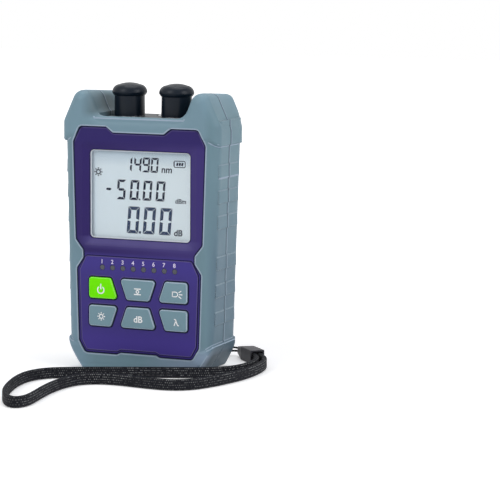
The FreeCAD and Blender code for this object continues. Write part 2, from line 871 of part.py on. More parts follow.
def make_case_screws():
    seat = rear_face - case_screw_recess
    return Part.makeCompound([
        make_screw(x, z, seat, case_screw_radius, case_screw_head_radius, case_screw_head_height,
                   case_screw_length) for x, z in case_screw_places()])


def make_board_screws():
    return Part.makeCompound([
        make_screw(x, z, board_rear, board_screw_radius, board_screw_head_radius, board_screw_head_height,
                   board_screw_length) for x, z in board_screw_places()])


def make_network_jack():
    """Eight-way modular jack whose mouth faces down through the foot."""
    x0 = jack_centre - jack_width / 2
    y0 = board_rear
    body = box(x0, x0 + jack_width, y0, y0 + jack_depth, jack_recess, jack_recess + jack_height)
    centre_y = y0 + jack_depth / 2
    mouth = box(jack_centre - jack_mouth_width / 2, jack_centre + jack_mouth_width / 2,
                centre_y - jack_mouth_depth / 2, centre_y + jack_mouth_depth / 2, -overshoot,
                jack_recess + jack_cavity)
    tab_y = centre_y + jack_mouth_depth / 2
    tab = box(jack_centre - jack_tab_width / 2, jack_centre + jack_tab_width / 2, tab_y - weld,
              tab_y + jack_tab_depth, -overshoot, jack_recess + jack_tab_length)
    return cut_all(body, [mouth, tab])


def make_jack_contacts():
    """Row of springy contact wires along the jack's front wall."""
    wall_y = board_rear + (jack_depth - jack_mouth_depth) / 2
    top = jack_recess + jack_cavity
    half = jack_contact_size / 2
    wires = []
    for index in range(jack_contacts):
        x = jack_centre + (index - (jack_contacts - 1) / 2) * jack_contact_pitch
        wires.append(box(x - half, x + half, wall_y, wall_y + jack_contact_size,
                         top - jack_contact_length, top))
    return Part.makeCompound(wires)


def make_usb_socket():
    x0 = usb_centre - usb_width / 2
    x1 = usb_centre + usb_width / 2
    y0 = board_rear
    y1 = board_rear + usb_depth
    middle = (y0 + y1) / 2
    top = jack_recess + usb_height
    body = box(x0, x1, y0, y1, jack_recess, top)
    hole = box(x0 + usb_wall, x1 - usb_wall, y0 + usb_wall, y1 - usb_wall, 0, top - usb_wall)
    tongue = box(x0 + usb_tongue_side, x1 - usb_tongue_side, middle - usb_tongue_thickness / 2,
                 middle + usb_tongue_thickness / 2, jack_recess * 2, top)
    return body.cut(hole).fuse(tongue)


def make_battery():
    outline = rounded_rectangle(battery_width / 2, battery_centre - battery_height / 2,
                                battery_centre + battery_height / 2, battery_radius)
    return front_prism(outline, rear_panel_back - battery_thickness, rear_panel_back)


def tangent_route(points):
    """Straight runs joined by tangent arcs, each arc as large as its shorter run allows."""
    edges = []
    radii = []
    last = points[0]
    for before, point, after in zip(points, points[1:], points[2:]):
        arriving = (point - before).normalize()
        leaving = (after - point).normalize()
        half_turn = arriving.getAngle(leaving) / 2
        reach = 0.45 * min(before.distanceToPoint(point), point.distanceToPoint(after))
        radius = reach / math.tan(half_turn)
        radii.append(radius)
        start = point - arriving * reach
        end = point + leaving * reach
        centre = point + (leaving - arriving).normalize() * (radius / math.cos(half_turn))
        middle = centre + (point - centre).normalize() * radius
        edges.append(Part.LineSegment(last, start).toShape())
        edges.append(Part.Arc(start, middle, end).toShape())
        last = end
    edges.append(Part.LineSegment(last, points[-1]).toShape())
    return Part.Wire(edges), radii


def report_cord(name, solid, wire, section, radii):
    length = wire.Length
    print(name, "length", round(length, 1), "radii", [round(radius, 1) for radius in radii],
          "volume over section times length", round(solid.Volume / (section * length), 4))


def make_wrist_strap():
    """Flat woven band standing on its edge, swept along its route."""
    middle = strap_width / 2 + strap_lift
    wire, radii = tangent_route([Vector(x, y, middle) for x, y in strap_route])
    start = Vector(*strap_route[0], middle)
    heading = (Vector(*strap_route[1], middle) - start).normalize()
    across = Vector(-heading.y, heading.x, 0) * (strap_thickness / 2)
    up = Vector(0, 0, strap_width / 2)
    corners = [start + across + up, start - across + up, start - across - up, start + across - up]
    section = Part.makePolygon(corners + corners[:1])
    band = wire.makePipeShell([section], True, False)
    report_cord("wrist_strap", band, wire, strap_width * strap_thickness, radii)
    return band


def make_strap_cord():
    """Thin cord from the clamp round the eye's bar and back, as a round tube."""
    points = [Vector(*point) for point in cord_route]
    wire, radii = tangent_route(points)
    radius = cord_diameter / 2
    circle = Part.Wire(Part.makeCircle(radius, points[0], points[1] - points[0]))
    tube = wire.makePipeShell([circle], True, True)
    report_cord("strap_cord", tube, wire, math.pi * radius * radius, radii)
    return tube


def make_strap_clamp():
    """Pressed clamp that joins the thin cord to the strap: a box mouth that narrows to a tip."""
    def ring(distance, width, height):
        return closed_wire([(Vector(distance, across * width / 2, up * height / 2), clamp_edge_radius)
                            for across, up in ((-1, -1), (1, -1), (1, 1), (-1, 1))])
    mouth = ring(clamp_nose, clamp_mouth_width, clamp_mouth_height)
    nose = Part.makeLoft([ring(0, clamp_tip_width, clamp_tip_height), mouth], True, True)
    end = ring(clamp_nose + clamp_body, clamp_mouth_width, clamp_mouth_height)
    body = Part.makeLoft([mouth, end], True, True)
    reach = clamp_mouth_width / 2 - clamp_wall
    inside = box(clamp_length, far, -reach, reach, -far, clamp_mouth_height / 2 - clamp_wall)
    clamp = fuse_all([nose, body]).cut(inside)
    clamp.rotate(Vector(0, 0, 0), Vector(0, 0, 1), clamp_heading)
    clamp.translate(Vector(clamp_tip_x, clamp_tip_y, clamp_mouth_height / 2 + strap_lift))
    return clamp


def build():
    parts = {}
    parts["front_bumper"], parts["rear_bumper"] = make_bumpers()
    parts["front_shell"] = make_front_shell()
    parts["rear_shell"] = make_rear_shell()
    parts["top_deck"] = make_top_deck()
    lens, lcd, light, holder = make_display()
    parts["display_window"] = lens
    parts["lcd_panel"] = lcd
    parts["lcd_backlight"] = light
    parts["lcd_holder"] = holder
    for name, outline in key_outlines():
        parts[name + "_key"] = make_key(outline)
        parts[name + "_plunger"] = make_plunger(outline)
        parts[name + "_switch"] = make_switch(outline)
    parts["light_guide"] = make_light_guide()
    parts["status_leds"] = make_status_leds()
    parts["main_board"] = make_board()
    parts["case_screws"] = make_case_screws()
    parts["board_screws"] = make_board_screws()
    for side, name in ((-1, "power"), (1, "laser")):
        parts[name + "_port"] = make_port(side)
        parts[name + "_port_nut"] = make_port_nut(side)
        parts[name + "_port_cap"] = make_dust_cap(side)
    parts["detector_module"] = make_module(-1)
    parts["laser_module"] = make_module(1)
    parts["torch_led"] = make_torch_led()
    parts["network_jack"] = make_network_jack()
    parts["jack_contacts"] = make_jack_contacts()
    parts["usb_socket"] = make_usb_socket()
    parts["battery"] = make_battery()
    parts["wrist_strap"] = make_wrist_strap()
    parts["strap_cord"] = make_strap_cord()
    parts["strap_clamp"] = make_strap_clamp()
    return parts


os.makedirs("parts", exist_ok=True)
for node, shape in build().items():
    shape.exportStep("parts/" + node + ".step")
    print(node, "solids", len(shape.Solids), "valid", shape.isValid(), "volume", round(shape.Volume, 1))
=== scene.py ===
import math

import bmesh
import bpy
from mathutils import Matrix, Vector


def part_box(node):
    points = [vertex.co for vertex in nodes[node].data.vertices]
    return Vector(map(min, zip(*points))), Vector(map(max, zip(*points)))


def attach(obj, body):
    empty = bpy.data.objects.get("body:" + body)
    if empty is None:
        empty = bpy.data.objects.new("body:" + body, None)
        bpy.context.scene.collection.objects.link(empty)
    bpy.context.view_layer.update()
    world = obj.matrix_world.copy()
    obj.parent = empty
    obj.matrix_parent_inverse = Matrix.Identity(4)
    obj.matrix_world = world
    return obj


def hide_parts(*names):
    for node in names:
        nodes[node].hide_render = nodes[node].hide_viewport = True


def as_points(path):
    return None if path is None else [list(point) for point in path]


# Dressed scene of the optical power meter. Sizes are written in millimetres and turned into metres by MM.
MM = 0.001

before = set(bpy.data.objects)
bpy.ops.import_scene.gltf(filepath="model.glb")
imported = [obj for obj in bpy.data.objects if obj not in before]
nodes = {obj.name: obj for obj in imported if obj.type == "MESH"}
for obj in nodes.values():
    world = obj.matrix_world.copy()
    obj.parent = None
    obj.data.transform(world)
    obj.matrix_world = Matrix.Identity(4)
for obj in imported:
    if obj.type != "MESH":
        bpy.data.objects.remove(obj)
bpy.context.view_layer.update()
scene = bpy.context.scene

# Camera, fitted to the photograph
CAMERA_AT = (391.104, -857.691, 174.539)
CAMERA_RIGHT = (0.9268, 0.37548, 0.00727)
CAMERA_UP = (-0.05543, 0.11763, 0.99151)
CAMERA_AHEAD = (-0.37144, 0.91934, -0.12983)
CAMERA_LENS = 158.4
CAMERA_NEAR = 10.0
SENSOR = 36.0

# Faces of the front from the display out to the keys, and the bumper's parting line
LCD_FACE = -12.91
WINDOW_FACE = -14.23
PANEL_FACE = -16.0
FIELD_FACE = -16.35
KEY_FACE = -17.2
PARTING = -2.0

# Strap and thin cord, as in the source
STRAP_WIDTH = 4.7
STRAP_THICKNESS = 2.0
STRAP_LIFT = 0.05
STRAP_ROUTE = [
    (38.36, 25.97), (43.8, 20.1), (47.4, 10.4), (48.5, -2.0), (47.4, -14.0), (44.9, -24.0),
    (41.6, -33.6), (37.0, -42.8), (28.8, -48.0), (16.6, -47.6), (5.4, -45.9), (-3.8, -46.9),
    (-10.6, -51.8), (-13.2, -61.4), (-13.2, -72.4), (-12.0, -82.8), (-10.2, -93.4), (-9.6, -100.4),
    (-11.6, -105.2), (-16.0, -103.8), (-20.6, -97.8), (-24.6, -90.4), (-28.6, -79.8), (-32.4, -66.0),
    (-33.4, -53.6), (-29.4, -44.6), (-20.6, -39.2), (-10.4, -34.3), (0.6, -29.4), (11.4, -24.9),
    (21.4, -20.9), (30.6, -17.2), (38.0, -12.0), (42.4, -4.4), (43.8, 4.8), (42.6, 13.4), (40.2, 20.0),
    (36.63, 24.24),
]
CORD_DIAMETER = 0.9
CORD_ROUTE = [
    (25.35, 37.25, 3.7), (22.6, 39.6, 3.5), (19.6, 37.6, 3.8), (19.8, 31.6, 5.1), (22.6, 24.2, 7.1),
    (24.0, 18.4, 9.2), (24.0, 12.75, 9.85), (24.0, 12.75, 6.15), (24.0, 18.2, 6.4), (22.8, 24.6, 5.2),
    (20.4, 31.4, 3.2), (20.2, 37.0, 2.3), (22.7, 38.9, 2.2), (25.35, 37.25, 2.4),
]


# Colours

def tone(red, green, blue):
    """Linear colour of a colour that is written on the 0 to 255 scale of a picture."""
    def linear(value):
        value = value / 255
        return value / 12.92 if value <= 0.04045 else ((value + 0.055) / 1.055) ** 2.4
    return (linear(red), linear(green), linear(blue), 1.0)


# Node trees

# Samples of the nodes that look round a point
SHADE_SAMPLES = 6
# Agreement of a rounded normal with the true one, on an edge and on an open face
EDGE_BENT, EDGE_STRAIGHT = 0.80, 0.96
# Reach of the look round an edge, and the openness of an inner and of an outer edge
EDGE_REACH = 1.5
EDGE_INNER, EDGE_OUTER = 0.6, 0.8
# Reach of the look into a groove, and the openness of its ground and of an open face
GROOVE_REACH = 1.2
GROOVE_GROUND, GROOVE_OPEN = 0.35, 0.8


class Tree:
    """Short calls for the nodes of one node tree."""

    def __init__(self, tree):
        self.tree = tree

    def node(self, kind, **values):
        made = self.tree.nodes.new(kind)
        for key, value in values.items():
            setattr(made, key, value)
        return made

    def link(self, source, target):
        self.tree.links.new(source, target)

    def span(self, value, low, high, from_low=0.3, from_high=0.7):
        """Value carried over to the range from low to high, and held inside it."""
        made = self.node("ShaderNodeMapRange")
        made.inputs["From Min"].default_value = from_low
        made.inputs["From Max"].default_value = from_high
        made.inputs["To Min"].default_value = low
        made.inputs["To Max"].default_value = high
        self.link(value, made.inputs["Value"])
        return made.outputs["Result"]

    def calculate(self, operation, first, second=None):
        made = self.node("ShaderNodeMath", operation=operation)
        for socket, value in zip(made.inputs, (first, second)):
            if isinstance(value, (int, float)):
                socket.default_value = value
            elif value is not None:
                self.link(value, socket)
        return made.outputs[0]

    def times(self, first, second):
        return self.calculate("MULTIPLY", first, second)

    def seen(self):
        """1 for what is seen, also in a mirror and through a window, and 0 for what only gives light."""
        light = self.node("ShaderNodeLightPath")
        seen = self.calculate("MAXIMUM", light.outputs["Is Camera Ray"], light.outputs["Is Glossy Ray"])
        return self.calculate("MAXIMUM", seen, light.outputs["Is Transmission Ray"])


class Graph(Tree):
    """A material's node tree, with the calls that the materials here share."""

    def __init__(self, name):
        self.material = bpy.data.materials.new(name)
        self.material.use_nodes = True
        super().__init__(self.material.node_tree)
        self.shader = self.tree.nodes["Principled BSDF"]
        self.output = self.tree.nodes["Material Output"]
        self.place = self.node("ShaderNodeTexCoord").outputs["Object"]

    def stretched(self, x, y, z):
        """Object coordinates scaled along each axis."""
        mapping = self.node("ShaderNodeMapping")
        mapping.inputs["Scale"].default_value = (x, y, z)
        self.link(self.place, mapping.inputs["Vector"])
        return mapping.outputs["Vector"]

    def noise(self, scale, detail=3.0, source=None):
        made = self.node("ShaderNodeTexNoise")
        made.inputs["Scale"].default_value = scale
        made.inputs["Detail"].default_value = detail
        self.link(source or self.place, made.inputs["Vector"])
        return made.outputs["Fac"]

    def mixed(self, value, first, second):
        """Colour that goes from first to second as value goes from 0 to 1."""
        made = self.node("ShaderNodeMix", data_type="RGBA")
        self.link(value, made.inputs[0])
        for socket, colour in ((made.inputs[6], first), (made.inputs[7], second)):
            if isinstance(colour, tuple):
                socket.default_value = colour
            else:
                self.link(colour, socket)
        return made.outputs[2]

    def patches(self, scale, first, second):
        """Two colours in soft patches."""
        return self.mixed(self.span(self.noise(scale), 0, 1), first, second)

    def field(self, tint, colour, *limits):
        """Tint that goes over to the colour between two places along each given axis, in millimetres."""
        split = self.node("ShaderNodeSeparateXYZ")
        self.link(self.place, split.inputs[0])
        share = 1.0
        for axis, start, end in limits:
            part = self.span(split.outputs[axis], 0, 1, start * MM, end * MM)
            share = part if share == 1.0 else self.times(share, part)
        return self.mixed(share, tint, colour)

    def off_centre(self, value):
        """Distance of a value from the middle between the whole numbers on both sides of it."""
        part = self.calculate("FRACT", value)
        return self.calculate("ABSOLUTE", self.calculate("SUBTRACT", part, 0.5))

    def rounded(self, radius):
        """Normal of the surface as if its edges were rounded by the radius in millimetres."""
        made = self.node("ShaderNodeBevel", samples=SHADE_SAMPLES)
        made.inputs["Radius"].default_value = radius * MM
        return made.outputs["Normal"]

    def edges(self, radius):
        """1 along sharp outer edges and corners, 0 on open faces and in inner corners."""
        dot = self.node("ShaderNodeVectorMath", operation="DOT_PRODUCT")
        self.link(self.rounded(radius), dot.inputs[0])
        self.link(self.node("ShaderNodeNewGeometry").outputs["True Normal"], dot.inputs[1])
        bent = self.span(dot.outputs["Value"], 1, 0, EDGE_BENT, EDGE_STRAIGHT)
        outer = self.span(self.openness(EDGE_REACH), 0, 1, EDGE_INNER, EDGE_OUTER)
        return self.times(bent, outer)

    def openness(self, reach):
        """1 on open faces, lower in grooves and inner corners."""
        occlusion = self.node("ShaderNodeAmbientOcclusion", samples=SHADE_SAMPLES)
        occlusion.inputs["Distance"].default_value = reach * MM
        return occlusion.outputs["AO"]

    def bump(self, height, strength, distance, rounding=0.0):
        """Bump from a height, over edges that look rounded by the given radius in millimetres."""
        made = self.node("ShaderNodeBump")
        made.inputs["Strength"].default_value = strength
        made.inputs["Distance"].default_value = distance * MM
        self.link(height, made.inputs["Height"])
        if rounding:
            self.link(self.rounded(rounding), made.inputs["Normal"])
        self.link(made.outputs["Normal"], self.shader.inputs["Normal"])

    def colour(self, source):
        self.link(source, self.shader.inputs["Base Color"])

    def rough(self, source):
        if isinstance(source, (int, float)):
            self.shader.inputs["Roughness"].default_value = source
        else:
            self.link(source, self.shader.inputs["Roughness"])

    def specular(self, level):
        self.shader.inputs["Specular IOR Level"].default_value = level


# Materials, whose colours are given on the 0 to 255 scale

# Detail of a fine noise, and the depth of the grain of plastic in millimetres
FINE_DETAIL = 2.0
GRAIN_DEPTH = 0.05
# How much plastic's roughness goes up and down, and how much finer than the patches of its colour
WEAR = 0.05
WEAR_FINENESS = 4
# Scale of the marks on metal along each axis
METAL_MARKS = (600, 600, 4000)


def moulded(name, first, second, rough, grain=1400.0, strength=0.12, patches=45.0, rounding=0.0, specular=0.3,
            edge=None, groove=None, line=0.6, fields=()):
    """Moulded plastic or rubber: two close tones in soft patches under a fine surface grain.

    Sharp edges take the edge colour as a painted highlight and grooves the groove colour as painted shade,
    where these are given.
    """
    graph = Graph(name)
    tint = graph.patches(patches, tone(*first), tone(*second))
    # Fields of another colour; on the bumper and the case they are mostly painted light and shade
    for colour, *limits in fields:
        tint = graph.field(tint, tone(*colour), *limits)
    # Painted shade: the groove colour where the surface is closed in, in grooves and inner corners
    if groove:
        depth = graph.span(graph.openness(GROOVE_REACH), 0, 1, GROOVE_GROUND, GROOVE_OPEN)
        tint = graph.mixed(depth, tone(*groove), tint)
    # Painted highlight: the edge colour along sharp outer edges
    if edge:
        tint = graph.mixed(graph.edges(line), tint, tone(*edge))
    graph.colour(tint)
    wear = graph.noise(patches * WEAR_FINENESS)
    graph.rough(graph.span(wear, rough - WEAR, rough + WEAR))
    graph.specular(specular)
    graph.bump(graph.noise(grain, FINE_DETAIL), strength, GRAIN_DEPTH, rounding)
    return graph.material


def metal(name, first, second, rough):
    """Turned or drawn metal with fine marks along its length."""
    graph = Graph(name)
    graph.colour(graph.patches(300.0, tone(*first), tone(*second)))
    graph.shader.inputs["Metallic"].default_value = 1.0
    graph.rough(graph.span(graph.noise(scale=900.0), rough - 0.06, rough + 0.08))
    marks = graph.noise(1.0, FINE_DETAIL, graph.stretched(*METAL_MARKS))
    graph.bump(marks, strength=0.1, distance=0.02)
    return graph.material


def printed(name, colour, rough=0.5, wear=0.86):
    """Ink: nearly one tone, a little broken by the surface that it is printed on."""
    graph = Graph(name)
    fresh = tone(*colour)
    worn = tuple(channel * wear for channel in fresh[:3]) + (1.0,)
    graph.colour(graph.patches(900.0, fresh, worn))
    graph.rough(rough)
    graph.specular(0.1)
    return graph.material


def window_glass(name, coating_index=1.16):
    """Clear window with an anti-glare face: a weak mirror, and see-through for the rest."""
    graph = Graph(name)
    graph.shader.inputs["Metallic"].default_value = 1.0
    graph.colour(graph.patches(60.0, tone(250, 252, 255), tone(240, 246, 252)))
    graph.rough(graph.span(graph.noise(scale=120.0), 0.03, 0.07))
    fresnel = graph.node("ShaderNodeFresnel")
    fresnel.inputs["IOR"].default_value = coating_index
    graph.link(fresnel.outputs["Fac"], graph.shader.inputs["Alpha"])
    return graph.material


def liquid_crystal(name, backlight=0.1):
    """Display field: pale silver, bluer at its left edge, with painted shade darker at its top under the
    window's edge, and a weak glow of painted light that brightens it in the window's shade.
    """
    graph = Graph(name)
    base = graph.field(tone(213, 226, 232), tone(216, 227, 231), ("X", -24, 8))
    # Painted shade: darker at the top, under the window's upper edge
    base = graph.field(base, tone(170, 190, 204), ("Z", 88, 95))
    base = graph.field(base, tone(208, 224, 236), ("X", -20.5, -23.6))
    grain = graph.span(graph.noise(scale=700.0), 0, 0.10)
    graph.colour(graph.mixed(grain, base, tone(206, 218, 228)))
    graph.specular(0.1)
    # Painted light: a weak glow that brightens the display in the window's shade; backlight is its strength
    graph.shader.inputs["Emission Color"].default_value = tone(216, 228, 236)
    graph.shader.inputs["Emission Strength"].default_value = backlight
    graph.rough(graph.span(graph.noise(scale=200.0), 0.24, 0.34))
    return graph.material


# Braid of the strap: rows of flecks over its width, and the distance of two flecks in a row
BRAID_ROWS = 5.0
BRAID_STEP = 0.85
# Shift of each row against the last, and half the size of a fleck, as shares of a step and of a row
BRAID_SHIFT = 0.5
FLECK_LENGTH = 0.29
FLECK_WIDTH = 0.18
# Turns of the slanted yarns for a millimetre along the band and for a row across it
YARN_ALONG = 2.4
YARN_ACROSS = 3.0
YARN_HEIGHT = 0.35


def braid(name):
    """Flat black braid: slanted yarns, with rows of pale flecks along its length."""
    graph = Graph(name)
    split = graph.node("ShaderNodeSeparateXYZ")
    graph.link(graph.node("ShaderNodeUVMap").outputs["UV"], split.inputs[0])
    along, across = split.outputs["X"], split.outputs["Y"]
    row = graph.times(across, BRAID_ROWS)
    in_row = graph.off_centre(row)
    shift = graph.times(graph.calculate("FLOOR", row), BRAID_SHIFT)
    step = graph.times(along, 1 / BRAID_STEP)
    in_step = graph.off_centre(graph.calculate("ADD", step, shift))
    fleck = graph.times(graph.calculate("LESS_THAN", in_row, FLECK_WIDTH),
                        graph.calculate("LESS_THAN", in_step, FLECK_LENGTH))
    fine = graph.span(graph.noise(scale=1100.0), 0.0, 1.0, from_low=0.42, from_high=0.58)
    coarse = graph.span(graph.noise(scale=70.0), 0.4, 1.0, from_low=0.4, from_high=0.6)
    fleck = graph.times(fleck, graph.times(fine, coarse))
    slant = graph.calculate("ADD", graph.times(along, YARN_ALONG), graph.times(in_row, YARN_ACROSS))
    yarn = graph.calculate("SINE", graph.times(slant, 2 * math.pi))
    ground = graph.mixed(graph.span(yarn, 0, 1, from_low=-1, from_high=1), tone(8, 9, 14), tone(24, 25, 32))
    ground = graph.mixed(graph.span(in_row, 0, 1, from_low=0.3, from_high=0.5), ground, tone(36, 38, 46))
    graph.colour(graph.mixed(fleck, ground, tone(146, 148, 148)))
    graph.rough(0.75)
    graph.specular(0.15)
    height = graph.calculate("ADD", graph.times(yarn, YARN_HEIGHT), fleck)
    graph.bump(height, strength=0.7, distance=0.18)
    return graph.material


def twisted_cord(name):
    """Thin black cord with the slanted strands of its twist."""
    graph = Graph(name)
    wave = graph.node("ShaderNodeTexWave", wave_type="BANDS", bands_direction="DIAGONAL")
    wave.inputs["Scale"].default_value = 620.0
    graph.link(graph.place, wave.inputs["Vector"])
    strand = wave.outputs["Fac"]
    graph.colour(graph.mixed(strand, tone(8, 8, 10), tone(24, 24, 28)))
    graph.rough(0.7)
    graph.specular(0.15)
    graph.bump(strand, strength=0.6, distance=0.12)
    return graph.material


def case_purple(name, first, second, fields=()):
    """The case's purple plastic, with painted highlights on its edges and painted shade in its grooves."""
    return moulded(name, first, second, 0.45, strength=0.08, rounding=0.25, specular=0.16,
                   edge=(74, 62, 126), groove=(32, 20, 68), line=0.4, fields=fields)


# Fields of a slightly other colour, most of them painted light and shade: the colour, and along each axis
# where it begins and where it is full
# Bumper: painted shade on the lower right side, the left horn's inner face and the foot's side; painted light
# on the head's front, the lower left and the foot's front
BUMPER_RIGHT_SIDE_SHADE = ((93, 118, 133), ("X", 31, 34), ("Z", 84, 44))
BUMPER_HEAD_FRONT_LIGHT = ((116, 145, 159), ("X", 33, 30), ("Z", 97, 102))
BUMPER_LEFT_HORN_SHADE = ((92, 112, 120), ("X", -27, -22), ("X", -17, -19), ("Z", 108, 111))
BUMPER_LOWER_LEFT_LIGHT = ((117, 145, 161), ("X", -20, -28), ("Z", 60, 30))
BUMPER_FOOT_FRONT_LIGHT = ((140, 160, 182), ("X", 2, 20), ("X", 35, 32), ("Z", 13, 9))
BUMPER_FOOT_SIDE_SHADE = ((72, 93, 106), ("X", 0, 10), ("Y", -14, -9), ("Z", 13, 8))
# Painted light: lighter to the right and on the slope under the window, which faces up
CASE_RIGHT_LIGHT = ((60, 48, 112), ("X", -16, 16))
CASE_UNDER_WINDOW_LIGHT = ((76, 68, 126), ("Z", 52, 55), ("Z", 58, 57), ("X", -29, -22), ("X", 29, 22))
CASE_AT_LIGHTS = ((66, 56, 136), ("Z", 51, 49))
CASE_AT_KEYS = ((64, 53, 127), ("Z", 46, 38))
CASE_FOOT = ((68, 55, 137), ("Z", 19, 14))
# Painted shade: darker along the top
CASE_TOP_SHADE = ((45, 34, 98), ("Z", 96, 99))

# Bumper rubber, with painted highlights on its edges, painted shade in its grooves and fields of painted
# light and shade
bumper = moulded("bumper", (106, 135, 146), (112, 140, 152), 0.5, rounding=0.8,
                 edge=(150, 170, 182), groove=(56, 78, 90), line=0.8,
                 fields=[BUMPER_RIGHT_SIDE_SHADE, BUMPER_HEAD_FRONT_LIGHT, BUMPER_LEFT_HORN_SHADE, BUMPER_LOWER_LEFT_LIGHT,
                         BUMPER_FOOT_FRONT_LIGHT, BUMPER_FOOT_SIDE_SHADE])
case = case_purple("case", (43, 31, 92), (48, 35, 98),
                   fields=[CASE_RIGHT_LIGHT, CASE_UNDER_WINDOW_LIGHT, CASE_AT_LIGHTS, CASE_AT_KEYS, CASE_FOOT, CASE_TOP_SHADE])
case_back = case_purple("case_back", (44, 33, 92), (50, 38, 98))
# Painted highlight: pale rubber for the lit lips of the bumper and the lit side of the parting line
lip_rubber = moulded("lip_rubber", (150, 168, 186), (158, 176, 194), 0.5)
# Painted shade: darker rubber beside the parting line
gap_rubber = moulded("gap_rubber", (84, 104, 116), (90, 110, 122), 0.6)
shade_purple = moulded("shade_purple", (34, 32, 68), (38, 36, 74), 0.6, specular=0.1)
lit_purple = moulded("lit_purple", (80, 70, 130), (86, 75, 136), 0.45)
# Painted highlight on the upper edges of the side pads
soft_grey = moulded("soft_grey", (132, 154, 167), (138, 160, 172), 0.5)
# Painted highlight along the panel's upper edge
soft_purple = moulded("soft_purple", (66, 57, 114), (72, 62, 120), 0.45)
lit_grey = moulded("lit_grey", (168, 186, 200), (175, 193, 206), 0.45)
# Painted highlight round the window's edge
window_edge = moulded("window_edge", (236, 244, 250), (242, 248, 252), 0.3)
lit_green = moulded("lit_green", (144, 248, 70), (150, 250, 78), 0.4)
deck = moulded("deck", (52, 58, 62), (60, 66, 70), 0.5, rounding=0.2)
# Keys, with painted shade in their grooves and inner corners
grey_key = moulded("grey_key", (117, 148, 160), (122, 153, 165), 0.42, groove=(40, 44, 70))
green_key = moulded("green_key", (114, 243, 0), (121, 248, 2), 0.45, specular=0.08, groove=(40, 100, 10))
black_plastic = moulded("black_plastic", (20, 21, 24), (27, 28, 31), 0.45)
cap_rubber = moulded("cap_rubber", (5, 17, 29), (9, 21, 33), 0.34, strength=0.06, specular=0.2)
# Clamp plastic, with a painted highlight on its edges
clamp_plastic = moulded("clamp_plastic", (44, 44, 50), (52, 52, 58), 0.5, grain=900.0, strength=0.2,
                        rounding=0.6, edge=(98, 98, 106))
smoked = moulded("smoked_light", (76, 78, 88), (84, 86, 94), 0.3)
white_plate = moulded("white_plate", (232, 234, 236), (238, 240, 242), 0.5)
circuit_board = moulded("circuit_board", (16, 84, 52), (22, 96, 60), 0.35)
pouch = metal("cell_pouch", (176, 182, 190), (190, 196, 202), 0.4)
steel = metal("steel", (176, 178, 182), (190, 192, 196), 0.3)
plated = metal("plated", (208, 208, 212), (220, 220, 224), 0.16)
brass = metal("brass", (206, 178, 112), (214, 188, 124), 0.28)
glass = window_glass("window")
display = liquid_crystal("display_field")
ink_white = printed("white_ink", (255, 255, 255))
ink_pale = printed("pale_ink", (238, 228, 255))
ink_dark = printed("segment_small", (38, 44, 64), 0.35)
ink_slate = printed("segment_large", (58, 72, 100), 0.35)
strap_braid = braid("strap_braid")
cord_yarn = twisted_cord("cord_yarn")

NODE_MATERIALS = {
    "front_bumper": bumper, "rear_bumper": bumper, "front_shell": case, "rear_shell": case_back,
    "top_deck": deck, "display_window": glass, "lcd_panel": display, "lcd_backlight": white_plate,
    "lcd_holder": black_plastic, "light_guide": smoked, "status_leds": white_plate,
    "main_board": circuit_board, "case_screws": steel, "board_screws": steel, "power_port": plated,
    "laser_port": plated, "power_port_nut": brass, "laser_port_nut": brass, "power_port_cap": cap_rubber,
    "laser_port_cap": cap_rubber, "detector_module": steel, "laser_module": steel,
    "torch_led": white_plate, "network_jack": black_plastic, "jack_contacts": brass, "usb_socket": steel,
    "battery": pouch, "wrist_strap": strap_braid, "strap_cord": cord_yarn, "strap_clamp": clamp_plastic,
}
for name, node in nodes.items():
    if name.endswith("_key"):
        chosen = green_key if name == "power_key" else grey_key
    elif name.endswith(("_switch", "_plunger")):
        chosen = black_plastic
    else:
        chosen = NODE_MATERIALS[name]
    if not node.material_slots:
        node.data.materials.append(chosen)
    for place in node.material_slots:
        place.material = chosen


# Mesh helpers

PRINT_DEPTH = 0.03
LETTER_DEPTH = 0.02
TRIM_DEPTH = 0.03
# Vertices of a node that are closer than this are taken as one
WELD = 0.002


def add_object(name, data, material, body, slot_name):
    """Puts a new mesh or curve in the scene, dressed and riding on its body."""
    made = bpy.data.objects.new(name, data)
    scene.collection.objects.link(made)
    data.materials.append(material)
    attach(made, body)
    return made


def mesh_from(name, vertices, faces):
    mesh = bpy.data.meshes.new(name)
    mesh.from_pydata([tuple(value * MM for value in vertex) for vertex in vertices], [], faces)
    mesh.update()
    return mesh


def mesh_of_curve(name, curve):
    """Mesh that a curve gives. The curve itself is removed."""
    holder = bpy.data.objects.new(name, curve)
    scene.collection.objects.link(holder)
    bpy.context.view_layer.update()
    mesh = bpy.data.meshes.new_from_object(holder.evaluated_get(bpy.context.evaluated_depsgraph_get()))
    bpy.data.objects.remove(holder)
    bpy.data.curves.remove(curve)
    return mesh


def print_shapes(name, shapes, y, material, body, slot_name, depth=PRINT_DEPTH):
    """Flat printed shapes, given as outlines in x and z, with a small depth towards the reader."""
    vertices = []
    faces = []
    for outline in shapes:
        start = len(vertices)
        count = len(outline)
        vertices += [(x, y - depth, z) for x, z in outline]
        vertices += [(x, y, z) for x, z in outline]
        faces.append(list(range(start, start + count)))
        faces.append(list(range(start + 2 * count - 1, start + count - 1, -1)))
        for index in range(count):
            following = (index + 1) % count
            faces.append([start + following, start + index, start + count + index, start + count + following])
    add_object(name, mesh_from(name, vertices, faces), material, body, slot_name)


